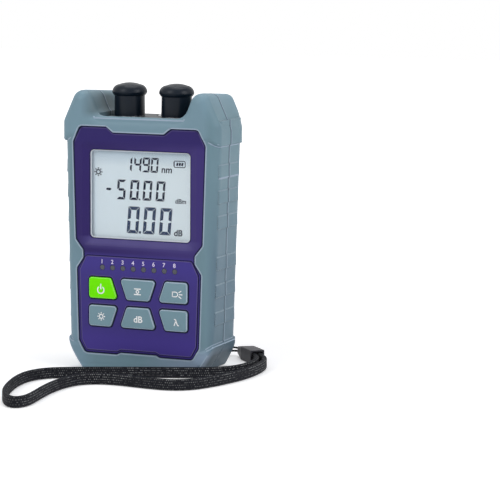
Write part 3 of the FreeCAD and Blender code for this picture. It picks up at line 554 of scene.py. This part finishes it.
def edge_trim(name, node_name, choose, width, material, body, slot_name, depth=TRIM_DEPTH):
    """Thin trim along edges of a CAD node, on the face beside each edge that choose picks."""
    node = nodes[node_name]
    solid = bmesh.new()
    solid.from_mesh(node.data)
    solid.transform(node.matrix_world)
    bmesh.ops.remove_doubles(solid, verts=solid.verts, dist=WELD * MM)
    vertices = []
    faces = []
    for edge in solid.edges:
        if len(edge.link_faces) != 2:
            continue
        first, second = (vertex.co for vertex in edge.verts)
        middle = (first + second) / 2
        for face, other in (edge.link_faces, reversed(edge.link_faces)):
            if not choose(middle / MM, face.normal, other.normal, (other.calc_center_median() - middle) / MM):
                continue
            along = (second - first).normalized()
            inward = face.normal.cross(along)
            start, end = first, second
            if inward.dot(face.calc_center_median() - middle) < 0:
                inward = -inward
                start, end = second, first
            base = len(vertices)
            for height in (0.0, depth):
                for corner in (start, end, end + inward * width * MM, start + inward * width * MM):
                    vertices.append((corner + face.normal * height * MM) / MM)
            faces += [[base + 4, base + 5, base + 6, base + 7], [base + 3, base + 2, base + 1, base]]
            for step in range(4):
                following = (step + 1) % 4
                faces.append([base + step, base + following, base + 4 + following, base + 4 + step])
    solid.free()
    add_object(name, mesh_from(name, vertices, faces), material, body, slot_name)


# Flat shapes for print

CORNER_STEPS = 6
# Ends of a sun's rays, as shares of its radius
RAY_NEAR, RAY_FAR = 1.45, 2.15
RAYS = 8


def bar_shape(x0, z0, x1, z1, width):
    """Outline of a straight stroke between two points."""
    direction = Vector((x1 - x0, z1 - z0)).normalized()
    across = Vector((-direction.y, direction.x)) * (width / 2)
    return [(x0 + across.x, z0 + across.y), (x0 - across.x, z0 - across.y),
            (x1 - across.x, z1 - across.y), (x1 + across.x, z1 + across.y)]


def ring_shapes(x, z, radius, width, start=0.0, end=360.0, steps=24):
    """Pieces of a ring or an arc, as short four-cornered outlines."""
    inner, outer = radius - width / 2, radius + width / 2
    angles = [math.radians(start + (end - start) * index / steps) for index in range(steps + 1)]
    pieces = []
    for first, second in zip(angles, angles[1:]):
        corners = ((first, inner), (second, inner), (second, outer), (first, outer))
        pieces.append([(x + reach * math.cos(turn), z + reach * math.sin(turn)) for turn, reach in corners])
    return pieces


def frame_shapes(left, right, low, high, radius, width, left_width):
    """Pieces of a rectangle with round corners, whose left line can have another width."""
    inner_left, inner_right = left + radius, right - radius
    inner_low, inner_high = low + radius, high - radius
    shapes = [bar_shape(inner_left, low, inner_right, low, width),
              bar_shape(inner_left, high, inner_right, high, width),
              bar_shape(right, inner_low, right, inner_high, width),
              bar_shape(left, inner_low, left, inner_high, left_width)]
    for x, z, start in ((inner_left, inner_low, 180), (inner_right, inner_low, 270),
                        (inner_right, inner_high, 0), (inner_left, inner_high, 90)):
        shapes += ring_shapes(x, z, radius, width, start, start + 90, CORNER_STEPS)
    return shapes


def sun_shapes(x, z, radius, width):
    """Sun: a ring with rays."""
    shapes = ring_shapes(x, z, radius, width)
    for index in range(RAYS):
        angle = 2 * math.pi * index / RAYS
        near, far = radius * RAY_NEAR, radius * RAY_FAR
        shapes.append(bar_shape(x + near * math.cos(angle), z + near * math.sin(angle),
                                x + far * math.cos(angle), z + far * math.sin(angle), width))
    return shapes


def power_shapes(x, z, radius=1.5, foot=0.25, head=2.65, width=0.55):
    """Power sign: a ring open at the top, with a bar in its opening."""
    shapes = ring_shapes(x, z, radius, width, start=122, end=418, steps=26)
    shapes.append(bar_shape(x, z + foot, x, z + head, width))
    return shapes


def zero_shapes(x, z, half_length=1.6, half_height=1.2, width=0.45):
    """Zero mark: a small ring between two level bars."""
    shapes = [bar_shape(x - half_length, level, x + half_length, level, width)
              for level in (z - half_height, z + half_height)]
    return shapes + ring_shapes(x, z, radius=0.62, width=0.42)


# Beams of the torch: their near and far ends, forward and up from the dome's centre
BEAMS = ((1.6, 0.0, 3.2, 0.0), (1.4, 0.8, 2.7, 1.6), (1.4, -0.8, 2.7, -1.6))


def torch_shapes(x, z, radius=1.0, depth=1.4, half_back=1.2, width=0.42):
    """Torch on its side: a dome on a back plate, with a level beam and two slanted ones."""
    back = x - depth
    shapes = ring_shapes(x, z, radius, width, start=-90, end=90, steps=12)
    for level in (z + radius, z - radius):
        shapes.append(bar_shape(back, level, x, level, width))
    shapes.append(bar_shape(back, z - half_back, back, z + half_back, width))
    for near, near_rise, far, far_rise in BEAMS:
        shapes.append(bar_shape(x + near, z + near_rise, x + far, z + far_rise, width))
    return shapes


# Seven strokes of a digit: which of them each digit lights, and how blunt their ends are
SEGMENTS = {"0": "abcdef", "1": "bc", "4": "bcfg", "5": "acdfg", "9": "abcdfg", "-": "g"}
SEGMENT_GAP = 0.14
SEGMENT_TIP = 0.7
SLANT = 0.08


def segment_digit(digit, x, z, width, height, stroke):
    """Outlines of one seven-stroke digit whose lower left corner is at x, z."""
    half = stroke / 2
    middle = height / 2
    gap = SEGMENT_GAP

    def upright(right, low, high, cut_low, cut_high):
        outer, inner = (width, width - stroke) if right else (0.0, stroke)
        low_end = stroke if cut_low else half * SEGMENT_TIP
        high_end = stroke if cut_high else half * SEGMENT_TIP
        return [(outer, low + gap), (inner, low + gap + low_end),
                (inner, high - gap - high_end), (outer, high - gap)]

    def level(outer, inner):
        return [(gap, outer), (stroke + gap, inner), (width - stroke - gap, inner), (width - gap, outer)]

    def centre():
        return [(half, middle), (stroke, middle - half), (width - stroke, middle - half),
                (width - half, middle), (width - stroke, middle + half), (stroke, middle + half)]

    strokes = {
        "a": level(height, height - stroke),
        "b": upright(True, middle, height, False, True),
        "c": upright(True, 0, middle, True, False),
        "d": level(0, stroke),
        "e": upright(False, 0, middle, True, False),
        "f": upright(False, middle, height, False, True),
        "g": centre(),
    }
    return [[(x + right + up * SLANT, z + up) for right, up in strokes[letter]] for letter in SEGMENTS[digit]]


def row_shapes(digits, lefts, foot, width, height, stroke):
    """Outlines of a row of seven-stroke digits."""
    shapes = []
    for digit, left in zip(digits, lefts):
        shapes += segment_digit(digit, left, foot, width, height, stroke)
    return shapes


def letters(name, words, x, z, size, weight, face, material, body, slot_name, shear=0.0):
    """Small flat sign in Blender's own plain font, centred at x, z and made bolder by weight."""
    curve = bpy.data.curves.new(name, "FONT")
    curve.body = words
    curve.size = size * MM
    curve.shear = shear
    curve.extrude = LETTER_DEPTH * MM
    curve.offset = weight * MM
    curve.align_x = "CENTER"
    curve.align_y = "CENTER"
    mesh = mesh_of_curve(name + "_curve", curve)
    low = Vector((min(vertex.co[axis] for vertex in mesh.vertices) for axis in range(3)))
    high = Vector((max(vertex.co[axis] for vertex in mesh.vertices) for axis in range(3)))
    middle = (low + high) / 2
    mesh.transform(Matrix.Translation(Vector((x, face - LETTER_DEPTH, z)) * MM)
                   @ Matrix.Rotation(math.pi / 2, 4, "X") @ Matrix.Translation(-middle))
    mesh.materials.clear()
    add_object(name, mesh, material, body, slot_name)


# Window and display

# Opening that the window shows in, and the pale rim inside it, a painted highlight on the window's edge
WINDOW_HALF = 23.34
WINDOW_LOW = 56.95
WINDOW_HIGH = 94.75
WINDOW_CORNER = 1.8
WINDOW_RIM = 0.36
WINDOW_RIM_DEPTH = 0.3

# Rows of digits: the digits, the left edge of each, the foot, and a digit's width, height and stroke
WAVELENGTH_ROW = ("1490", (-8.2, -3.85, 0.1, 4.05), 85.75, 3.4, 6.3, 0.84)
MINUS_ROW = ("-", (-17.65,), 73.9, 3.6, 8.0, 1.0)
POWER_ROW = ("5000", (-11.9, -5.75, 0.33, 6.41), 73.7, 4.05, 8.5, 1.05)
LOSS_ROW = ("000", (-7.1, 0.45, 8.0), 59.4, 5.4, 11.5, 1.45)

# Decimal points: the ends of a short upright bar, and its width
POWER_POINT = (-1.0, 73.7, -1.0, 74.4, 0.7)
LOSS_POINT = (-0.85, 59.5, -0.85, 60.5, 1.0)

# Units: the piece's name, its letters, centre, size and weight
UNITS = [
    ("display_unit_a", "nm", 11.6, 86.85, 4.0, 0.08),
    ("display_unit_b", "dBm", 18.1, 74.1, 2.8, 0.05),
    ("display_unit_c", "dB", 17.0, 60.6, 3.7, 0.09),
]
UNIT_SHEAR = 0.1
SUN_AT = (-20.4, 85.1)

# Battery sign: its outline, and the leaning cells in it
BATTERY_LEFT, BATTERY_RIGHT = 15.0, 20.1
BATTERY_LOW, BATTERY_HIGH = 88.45, 91.1
BATTERY_CORNER = 0.5
BATTERY_LINE = 0.34
BATTERY_POLE = 0.55
CELLS = 3
CELL_START = 1.35
CELL_STEP = 1.15
CELL_LEAN = 0.3
CELL_MARGIN = 0.65
CELL_WIDTH = 0.85


def window_rim():
    """Pale rim round the window, inside its opening: a painted highlight where the window's edge catches the
    light.
    """
    inset = WINDOW_RIM / 2
    half = WINDOW_HALF - inset
    shapes = frame_shapes(-half, half, WINDOW_LOW + inset, WINDOW_HIGH - inset, WINDOW_CORNER - inset,
                          WINDOW_RIM, WINDOW_RIM)
    print_shapes("window_rim", shapes, WINDOW_FACE, window_edge, "case", "lcd_glass", WINDOW_RIM_DEPTH)


def battery_shapes():
    """Battery sign with its cells."""
    shapes = frame_shapes(BATTERY_LEFT, BATTERY_RIGHT, BATTERY_LOW, BATTERY_HIGH, BATTERY_CORNER,
                          BATTERY_LINE, BATTERY_POLE)
    low, high = BATTERY_LOW + CELL_MARGIN, BATTERY_HIGH - CELL_MARGIN
    for index in range(CELLS):
        x = BATTERY_LEFT + CELL_START + index * CELL_STEP
        shapes.append(bar_shape(x, low, x + CELL_LEAN, high, CELL_WIDTH))
    return shapes


def display_digits():
    """Numbers, units and signs on the display."""
    small = row_shapes(*WAVELENGTH_ROW) + row_shapes(*MINUS_ROW) + row_shapes(*POWER_ROW)
    small += [bar_shape(*POWER_POINT)]
    print_shapes("display_numbers_small", small, LCD_FACE, ink_dark, "case", "lcd_glass")
    large = row_shapes(*LOSS_ROW) + [bar_shape(*LOSS_POINT)]
    print_shapes("display_numbers_large", large, LCD_FACE, ink_slate, "case", "lcd_glass")
    signs = sun_shapes(*SUN_AT, radius=0.9, width=0.5) + battery_shapes()
    print_shapes("display_signs", signs, LCD_FACE, ink_dark, "case", "lcd_glass")
    for unit in UNITS:
        letters(*unit, LCD_FACE, ink_dark, "case", "lcd_glass", UNIT_SHEAR)


# Signs on the keys and numbers over the lights

# Drawn signs: the piece's name, its shapes, the key's body and slot
DRAWN_SIGNS = [
    ("sign_power", power_shapes(-17.3, 34.75), "power_key_body", "key_green"),
    ("sign_reference", zero_shapes(0.0, 35.0), "reference_key_body", "key_grey"),
    ("sign_cable_test", torch_shapes(17.7, 35.0), "cable_test_key_body", "key_grey"),
    ("sign_backlight", sun_shapes(-17.1, 23.3, radius=0.85, width=0.42), "backlight_key_body", "key_grey"),
]
# Lettered signs: the piece's name, its letters, centre, size and weight, and the key's body
LETTER_SIGNS = [
    (("sign_decibel", "dB", 0.3, 23.1, 3.9, 0.08), "decibel_key_body"),
    (("sign_wavelength", "λ", 18.1, 23.0, 3.9, 0.07), "wavelength_key_body"),
]

LIGHTS = 8
NUMBER_SHIFT = -0.15
NUMBER_HEIGHT = 47.05
NUMBER_SIZE = 2.5
NUMBER_WEIGHT = 0.03


def key_signs():
    """White sign on each key."""
    for name, shapes, body, slot_name in DRAWN_SIGNS:
        print_shapes(name, shapes, KEY_FACE, ink_white, body, slot_name)
    for sign, body in LETTER_SIGNS:
        letters(*sign, KEY_FACE, ink_white, body, "key_grey")


def light_numbers():
    """Number over each status light, by the middle of the light's share of the row."""
    low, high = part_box("light_guide")
    span = (high.x - low.x) / MM / LIGHTS
    for index in range(LIGHTS):
        number = str(index + 1)
        x = (index - (LIGHTS - 1) / 2) * span + NUMBER_SHIFT
        letters("light_number_" + number, number, x, NUMBER_HEIGHT, NUMBER_SIZE, NUMBER_WEIGHT, FIELD_FACE,
                ink_pale, "case", "case_plastic")


# Cords

# Points of a route's curve are at least this far apart
POINT_STEP = 0.1
# Section of the band: its corners' radius as a share of half the thickness, and their turn in degrees
BAND_CORNER = 0.7
BAND_CORNER_TURNS = (0, 30, 60, 90)
# Pieces of each broad side, and the share of the braid's width that it shows
BAND_PIECES = 6
BRAID_SHARE = 0.96


def route_curve(name, route):
    """NURBS curve of a route, as in the source."""
    curve = bpy.data.curves.new(name, "CURVE")
    curve.dimensions = "3D"
    spline = curve.splines.new("NURBS")
    spline.points.add(len(route) - 1)
    for point, place in zip(spline.points, route):
        point.co = (place[0] * MM, place[1] * MM, place[2] * MM, 1.0)
    spline.order_u = 3
    spline.use_endpoint_u = True
    curve.resolution_u = 10
    return curve


def spline_points(name, route):
    """Points along the route's own NURBS curve, in metres."""
    mesh = mesh_of_curve(name, route_curve(name, route))
    points = [mesh.vertices[0].co.copy()]
    for vertex in mesh.vertices:
        if (vertex.co - points[-1]).length > POINT_STEP * MM:
            points.append(vertex.co.copy())
    bpy.data.meshes.remove(mesh)
    return points


def path_length(points):
    return sum((second - first).length for first, second in zip(points, points[1:]))


def band_section():
    """Rounded section of the band, in metres across its thickness and its width."""
    thick, wide = STRAP_THICKNESS * MM / 2, STRAP_WIDTH * MM / 2
    corner = thick * BAND_CORNER
    section = []
    for side, start in (((1, -1), -90), ((1, 1), 0), ((-1, 1), 90), ((-1, -1), 180)):
        for turn in BAND_CORNER_TURNS:
            angle = math.radians(start + turn)
            section.append((side[0] * (thick - corner) + corner * math.cos(angle),
                            side[1] * (wide - corner) + corner * math.sin(angle)))
    dense = []
    for index, (x, y) in enumerate(section):
        following = section[(index + 1) % len(section)]
        pieces = BAND_PIECES if abs(following[1] - y) > wide else 1
        for step in range(pieces):
            share = step / pieces
            dense.append((x + (following[0] - x) * share, y + (following[1] - y) * share))
    return dense


def make_strap():
    """Flat braided band on its edge: a rounded section carried along the route, with lengths in its UVs."""
    points = spline_points("strap_route", [(x, y, STRAP_WIDTH / 2 + STRAP_LIFT) for x, y in STRAP_ROUTE])
    section = band_section()
    count = len(section)
    vertices = []
    faces = []
    travelled = [0.0]
    for first, second in zip(points, points[1:]):
        travelled.append(travelled[-1] + (second - first).length / MM)
    for index, point in enumerate(points):
        before = points[max(index - 1, 0)]
        after = points[min(index + 1, len(points) - 1)]
        ahead = (after - before).normalized()
        across = Vector((-ahead.y, ahead.x, 0))
        vertices += [point + across * x + Vector((0, 0, y)) for x, y in section]
    for index in range(len(points) - 1):
        for step in range(count):
            following = (step + 1) % count
            faces.append([index * count + step, index * count + following,
                          (index + 1) * count + following, (index + 1) * count + step])
    faces.append(list(range(count - 1, -1, -1)))
    faces.append([(len(points) - 1) * count + step for step in range(count)])
    mesh = bpy.data.meshes.new("strap_braid_band")
    mesh.from_pydata([tuple(vertex) for vertex in vertices], [], faces)
    mesh.polygons.foreach_set("use_smooth", [True] * len(mesh.polygons))
    layer = mesh.uv_layers.new(name="UVMap")
    for loop in mesh.loops:
        ring, step = divmod(loop.vertex_index, count)
        height = 0.5 + section[step][1] / (STRAP_WIDTH * MM) * BRAID_SHARE
        layer.data[loop.index].uv = (travelled[ring], height)
    mesh.update()
    band = add_object("strap_band", mesh, strap_braid, "case", "strap_fabric")
    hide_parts("wrist_strap")
    return band, points


def make_thin_cord():
    curve = route_curve("strap_thin_cord", CORD_ROUTE)
    curve.bevel_depth = CORD_DIAMETER * MM / 2
    curve.bevel_resolution = 4
    made = add_object("strap_thin_cord", curve, cord_yarn, "case", "cord_fabric")
    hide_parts("strap_cord")
    return made


strap, strap_path = make_strap()
thin_cord = make_thin_cord()
cord_length = path_length(spline_points("cord_measure", CORD_ROUTE))
round(path_length(strap_path), 4)
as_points(strap_path)


# Trim lines: painted highlights on the lips and painted shade in the gaps between the mouldings

# Part of a normal along an axis, from a flat face that looks along it to a face that stands across it
FLAT = 0.95
FACING = 0.9
CHAMFER = 0.86
LEANING = 0.7
UNDERSIDE = 0.6
TILTED = 0.5
SIDEWAYS = 0.4
ACROSS = 0.3
# How far an edge may lie from its level, and how far the face beside it reaches at least
LEVEL_SLACK = 0.02
PARTING_SLACK = 0.3
LEAST_REACH = 0.01
# Zones of the front: half widths and heights, and round the window's opening a margin and a level
OPENING_HALF = 33
PANEL_TOP = 97
FIELD_HALF = 24.2
FIELD_LOW, FIELD_HIGH = 12, 47.5
KEYS_LOW, KEYS_HIGH = 17, 42
WINDOW_MARGIN = 1.0
WINDOW_FRONT = -13
# Zones of the sides: where the side begins, and the heights of the head, the pads and the foot
HEAD_HALF = 32
SIDE_HALF = 31
HEAD_LOW, HEAD_HIGH = 84, 104
PAD_LOW, PAD_HIGH = 24, 92
FOOT_LOW, FOOT_HIGH = 6, 24
# Outside of the parting line: half width at the foot, how much it grows to the top, and the top
PARTING_HALF = 32.4
PARTING_GROWTH = 3.0
CASE_HEIGHT = 108.6
PARTING_TOP = 108.7


def front_edge(place, normal, other, level):
    """Edge of a face that looks forward at a level, beside a face that stands across."""
    return normal.y < -FACING and abs(other.y) < ACROSS and abs(place.y - level) < LEVEL_SLACK


def lip_edge(place, normal, other, reach):
    """Front edge of the bumper's opening round the panel."""
    inside = place.y < PANEL_FACE and abs(place.x) < OPENING_HALF
    return inside and normal.y < -LEANING and abs(other.y) < TILTED


def panel_edge(place, normal, other, reach):
    """Outer edge of the panel, beside the gap to the bumper."""
    return front_edge(place, normal, other, PANEL_FACE) and reach.y > LEAST_REACH


def panel_top_edge(place, normal, other, reach):
    """Upper edge of the panel."""
    return panel_edge(place, normal, other, reach) and place.z > PANEL_TOP


def field_foot(place, normal, other, reach):
    """Inner corner round the foot of the raised field."""
    return front_edge(place, normal, other, PANEL_FACE) and reach.y < -LEAST_REACH


def field_edge(place, normal, other, reach):
    """Outer edge of the raised field."""
    outside = abs(place.x) > FIELD_HALF or place.z < FIELD_LOW or place.z > FIELD_HIGH
    return front_edge(place, normal, other, FIELD_FACE) and outside


def key_opening(place, normal, other, reach):
    """Edges of the openings that the keys stand in."""
    inside = abs(place.x) < FIELD_HALF and KEYS_LOW < place.z < KEYS_HIGH
    return front_edge(place, normal, other, FIELD_FACE) and inside


def key_opening_top(place, normal, other, reach):
    """Upper edges of the openings that the keys stand in."""
    return key_opening(place, normal, other, reach) and other.z < -ACROSS


def window_opening(place, normal, other, reach):
    """Edge of the opening that the window lies in."""
    beside = WINDOW_LOW - WINDOW_MARGIN < place.z < WINDOW_HIGH + WINDOW_MARGIN
    inside = beside and abs(place.x) < WINDOW_HALF + WINDOW_MARGIN and place.y < WINDOW_FRONT
    return inside and normal.y < -LEANING and abs(other.y) < ACROSS


def head_lip(place, normal, other, reach):
    """Lower edge of the head, which stands proud of the body."""
    beside = abs(place.x) > HEAD_HALF and HEAD_LOW < place.z < HEAD_HIGH
    return beside and abs(normal.z) < TILTED and other.z < -UNDERSIDE


def foot_lip(place, normal, other, reach):
    """Upper edge of the foot, which stands proud of the body."""
    beside = abs(place.x) > SIDE_HALF and FOOT_LOW < place.z < FOOT_HIGH
    return beside and abs(normal.z) < TILTED and other.z > TILTED


def pad_lip(place, normal, other, reach):
    """Upper edges of the pads on the sides."""
    beside = abs(place.x) > SIDE_HALF and PAD_LOW < place.z < PAD_HIGH
    return beside and abs(normal.x) > FACING and other.z > TILTED


def key_chamfer(place, normal, other, reach):
    """Chamfer round the face of a key."""
    return -CHAMFER < normal.y < -TILTED and other.y < -FLAT


def outer_parting(place, normal, other, reach):
    """Edges along the parting line that are seen from outside."""
    half = PARTING_HALF + PARTING_GROWTH * place.z / CASE_HEIGHT
    outside = abs(place.x) > half or place.z > PARTING_TOP
    at_parting = abs(place.y - PARTING) < PARTING_SLACK
    return outside and at_parting and abs(normal.y) < SIDEWAYS and abs(other.y) > FACING


FLAT_DEPTH = 0.02
# Trim lines of the front shell: the piece's name, its edges, the width, the material and the depth
# Painted shade along the gaps, the window's opening and the field's foot; painted highlights along the
# panel's top, the field's edge and the tops of the key openings
SHELL_TRIMS = [
    ("panel_gap_shade", panel_edge, 0.5, shade_purple, TRIM_DEPTH),
    ("panel_top_highlight", panel_top_edge, 0.85, soft_purple, FLAT_DEPTH),
    ("window_shade", window_opening, 0.4, shade_purple, TRIM_DEPTH),
    ("key_lit_line", key_opening_top, 0.62, lit_purple, FLAT_DEPTH),
    ("field_gap_shade", field_foot, 0.4, shade_purple, TRIM_DEPTH),
    ("field_edge_highlight", field_edge, 0.38, lit_purple, TRIM_DEPTH),
    ("key_gap_shade", key_opening, 0.3, shade_purple, TRIM_DEPTH),
]
# Trim lines of both bumpers: the end of the piece's name, its edges, the width and the material
# All are painted highlights along the head's lower edge, the foot's upper edge and the pads' upper edges
SIDE_TRIMS = [("_head_lip", head_lip, 0.45, lip_rubber), ("_foot_lip", foot_lip, 0.45, lip_rubber),
              ("_pad_lip", pad_lip, 0.3, soft_grey)]
KEY_RIM = 0.5


def make_trim():
    """All trim lines: on the bumper, on the front shell and round the keys."""
    # Painted highlight along the bumper's lip round the panel
    edge_trim("lip_line", "front_bumper", lip_edge, 0.55, lip_rubber, "case", "bumper_rubber")
    for name, choose, width, material, depth in SHELL_TRIMS:
        edge_trim(name, "front_shell", choose, width, material, "case", "case_plastic", depth)
    edge_trim("parting_shade", "front_bumper", outer_parting, 0.8, gap_rubber, "case", "bumper_rubber")
    edge_trim("parting_light", "rear_bumper", outer_parting, 0.5, lip_rubber, "case", "bumper_rubber")
    for name in ("front_bumper", "rear_bumper"):
        for ending, choose, width, material in SIDE_TRIMS:
            edge_trim(name + ending, name, choose, width, material, "case", "bumper_rubber")
    # Painted highlight on the chamfer round each key's face
    for name in nodes:
        if name.endswith("_key"):
            rim, slot_name = (lit_green, "key_green") if name == "power_key" else (lit_grey, "key_grey")
            edge_trim(name + "_rim", name, key_chamfer, KEY_RIM, rim, name + "_body", slot_name)


window_rim()
display_digits()
key_signs()
light_numbers()
make_trim()


# Floor, light and camera

FLOOR_REACH = 3000
FLOOR_DROP = 0.05
# The floor's own glow: its strength near the object and far away, and the distances between which it grows
GLOW_NEAR, GLOW_FAR = 0.3, 1.0
GLOW_START, GLOW_END = 160, 500
# Strength of the surround as a light and where it is seen
SURROUND_LIGHT, SURROUND_SEEN = 0.32, 1.0

WHITE = (1.0, 1.0, 1.0)
COOL_WHITE = (0.95, 0.96, 1.0)
# Lamps: the name, the place and the point that it looks at in metres, its size, power and colour
LAMPS = [
    ("key_light", (-0.35, -0.75, 0.6), (0.0, 0.0, 0.06), 0.5, 3.2, WHITE),
    ("side_light", (0.8, -0.15, 0.45), (0.0, 0.0, 0.06), 0.5, 2.8, COOL_WHITE),
    ("top_light", (0.0, 0.1, 0.9), (0.0, 0.0, 0.05), 0.6, 3.0, WHITE),
]


def make_floor():
    """Pale floor that keeps the object's shadow and runs out into the white surround."""
    corners = [(-FLOOR_REACH, -FLOOR_REACH), (FLOOR_REACH, -FLOOR_REACH),
               (FLOOR_REACH, FLOOR_REACH), (-FLOOR_REACH, FLOOR_REACH)]
    mesh = mesh_from("floor", [(x, y, -FLOOR_DROP) for x, y in corners], [[0, 1, 2, 3]])
    made = bpy.data.objects.new("floor", mesh)
    scene.collection.objects.link(made)
    graph = Graph("floor")
    graph.colour(graph.patches(3.0, tone(244, 244, 246), tone(248, 248, 249)))
    graph.rough(0.9)
    graph.specular(0.0)
    distance = graph.node("ShaderNodeVectorMath", operation="LENGTH")
    graph.link(graph.place, distance.inputs[0])
    away = graph.span(distance.outputs["Value"], GLOW_NEAR, GLOW_FAR, GLOW_START * MM, GLOW_END * MM)
    glow = graph.node("ShaderNodeEmission")
    graph.link(graph.times(graph.seen(), away), glow.inputs["Strength"])
    total = graph.node("ShaderNodeAddShader")
    graph.link(graph.shader.outputs[0], total.inputs[0])
    graph.link(glow.outputs[0], total.inputs[1])
    graph.link(total.outputs[0], graph.output.inputs["Surface"])
    mesh.materials.append(graph.material)


def make_surround():
    """Even pale surround: full white where it is seen, softer as a light."""
    world = bpy.data.worlds.new("surround")
    scene.world = world
    world.use_nodes = True
    background = world.node_tree.nodes["Background"]
    background.inputs["Color"].default_value = (*WHITE, 1.0)
    tree = Tree(world.node_tree)
    strength = tree.span(tree.seen(), SURROUND_LIGHT, SURROUND_SEEN, from_low=0.0, from_high=1.0)
    tree.link(strength, background.inputs["Strength"])


def add_lamp(name, place, target, size, power, colour):
    """Square lamp that looks at its target."""
    data = bpy.data.lights.new(name, "AREA")
    data.shape = "SQUARE"
    data.size = size
    data.energy = power
    data.color = colour
    lamp = bpy.data.objects.new(name, data)
    lamp.location = place
    lamp.rotation_euler = (Vector(target) - Vector(place)).to_track_quat("-Z", "Y").to_euler()
    scene.collection.objects.link(lamp)


def make_camera():
    """The photograph's camera."""
    data = bpy.data.cameras.new("camera")
    data.lens = CAMERA_LENS
    data.sensor_width = SENSOR
    data.sensor_fit = "HORIZONTAL"
    data.clip_start = CAMERA_NEAR * MM
    camera = bpy.data.objects.new("camera", data)
    right, up, ahead = Vector(CAMERA_RIGHT), Vector(CAMERA_UP), Vector(CAMERA_AHEAD)
    turn = Matrix((right, up, -ahead)).transposed().to_4x4()
    camera.matrix_world = Matrix.Translation(Vector(CAMERA_AT) * MM) @ turn
    scene.collection.objects.link(camera)
    scene.camera = camera


make_floor()
make_surround()
for lamp_row in LAMPS:
    add_lamp(*lamp_row)
make_camera()
scene.view_settings.view_transform = "Standard"
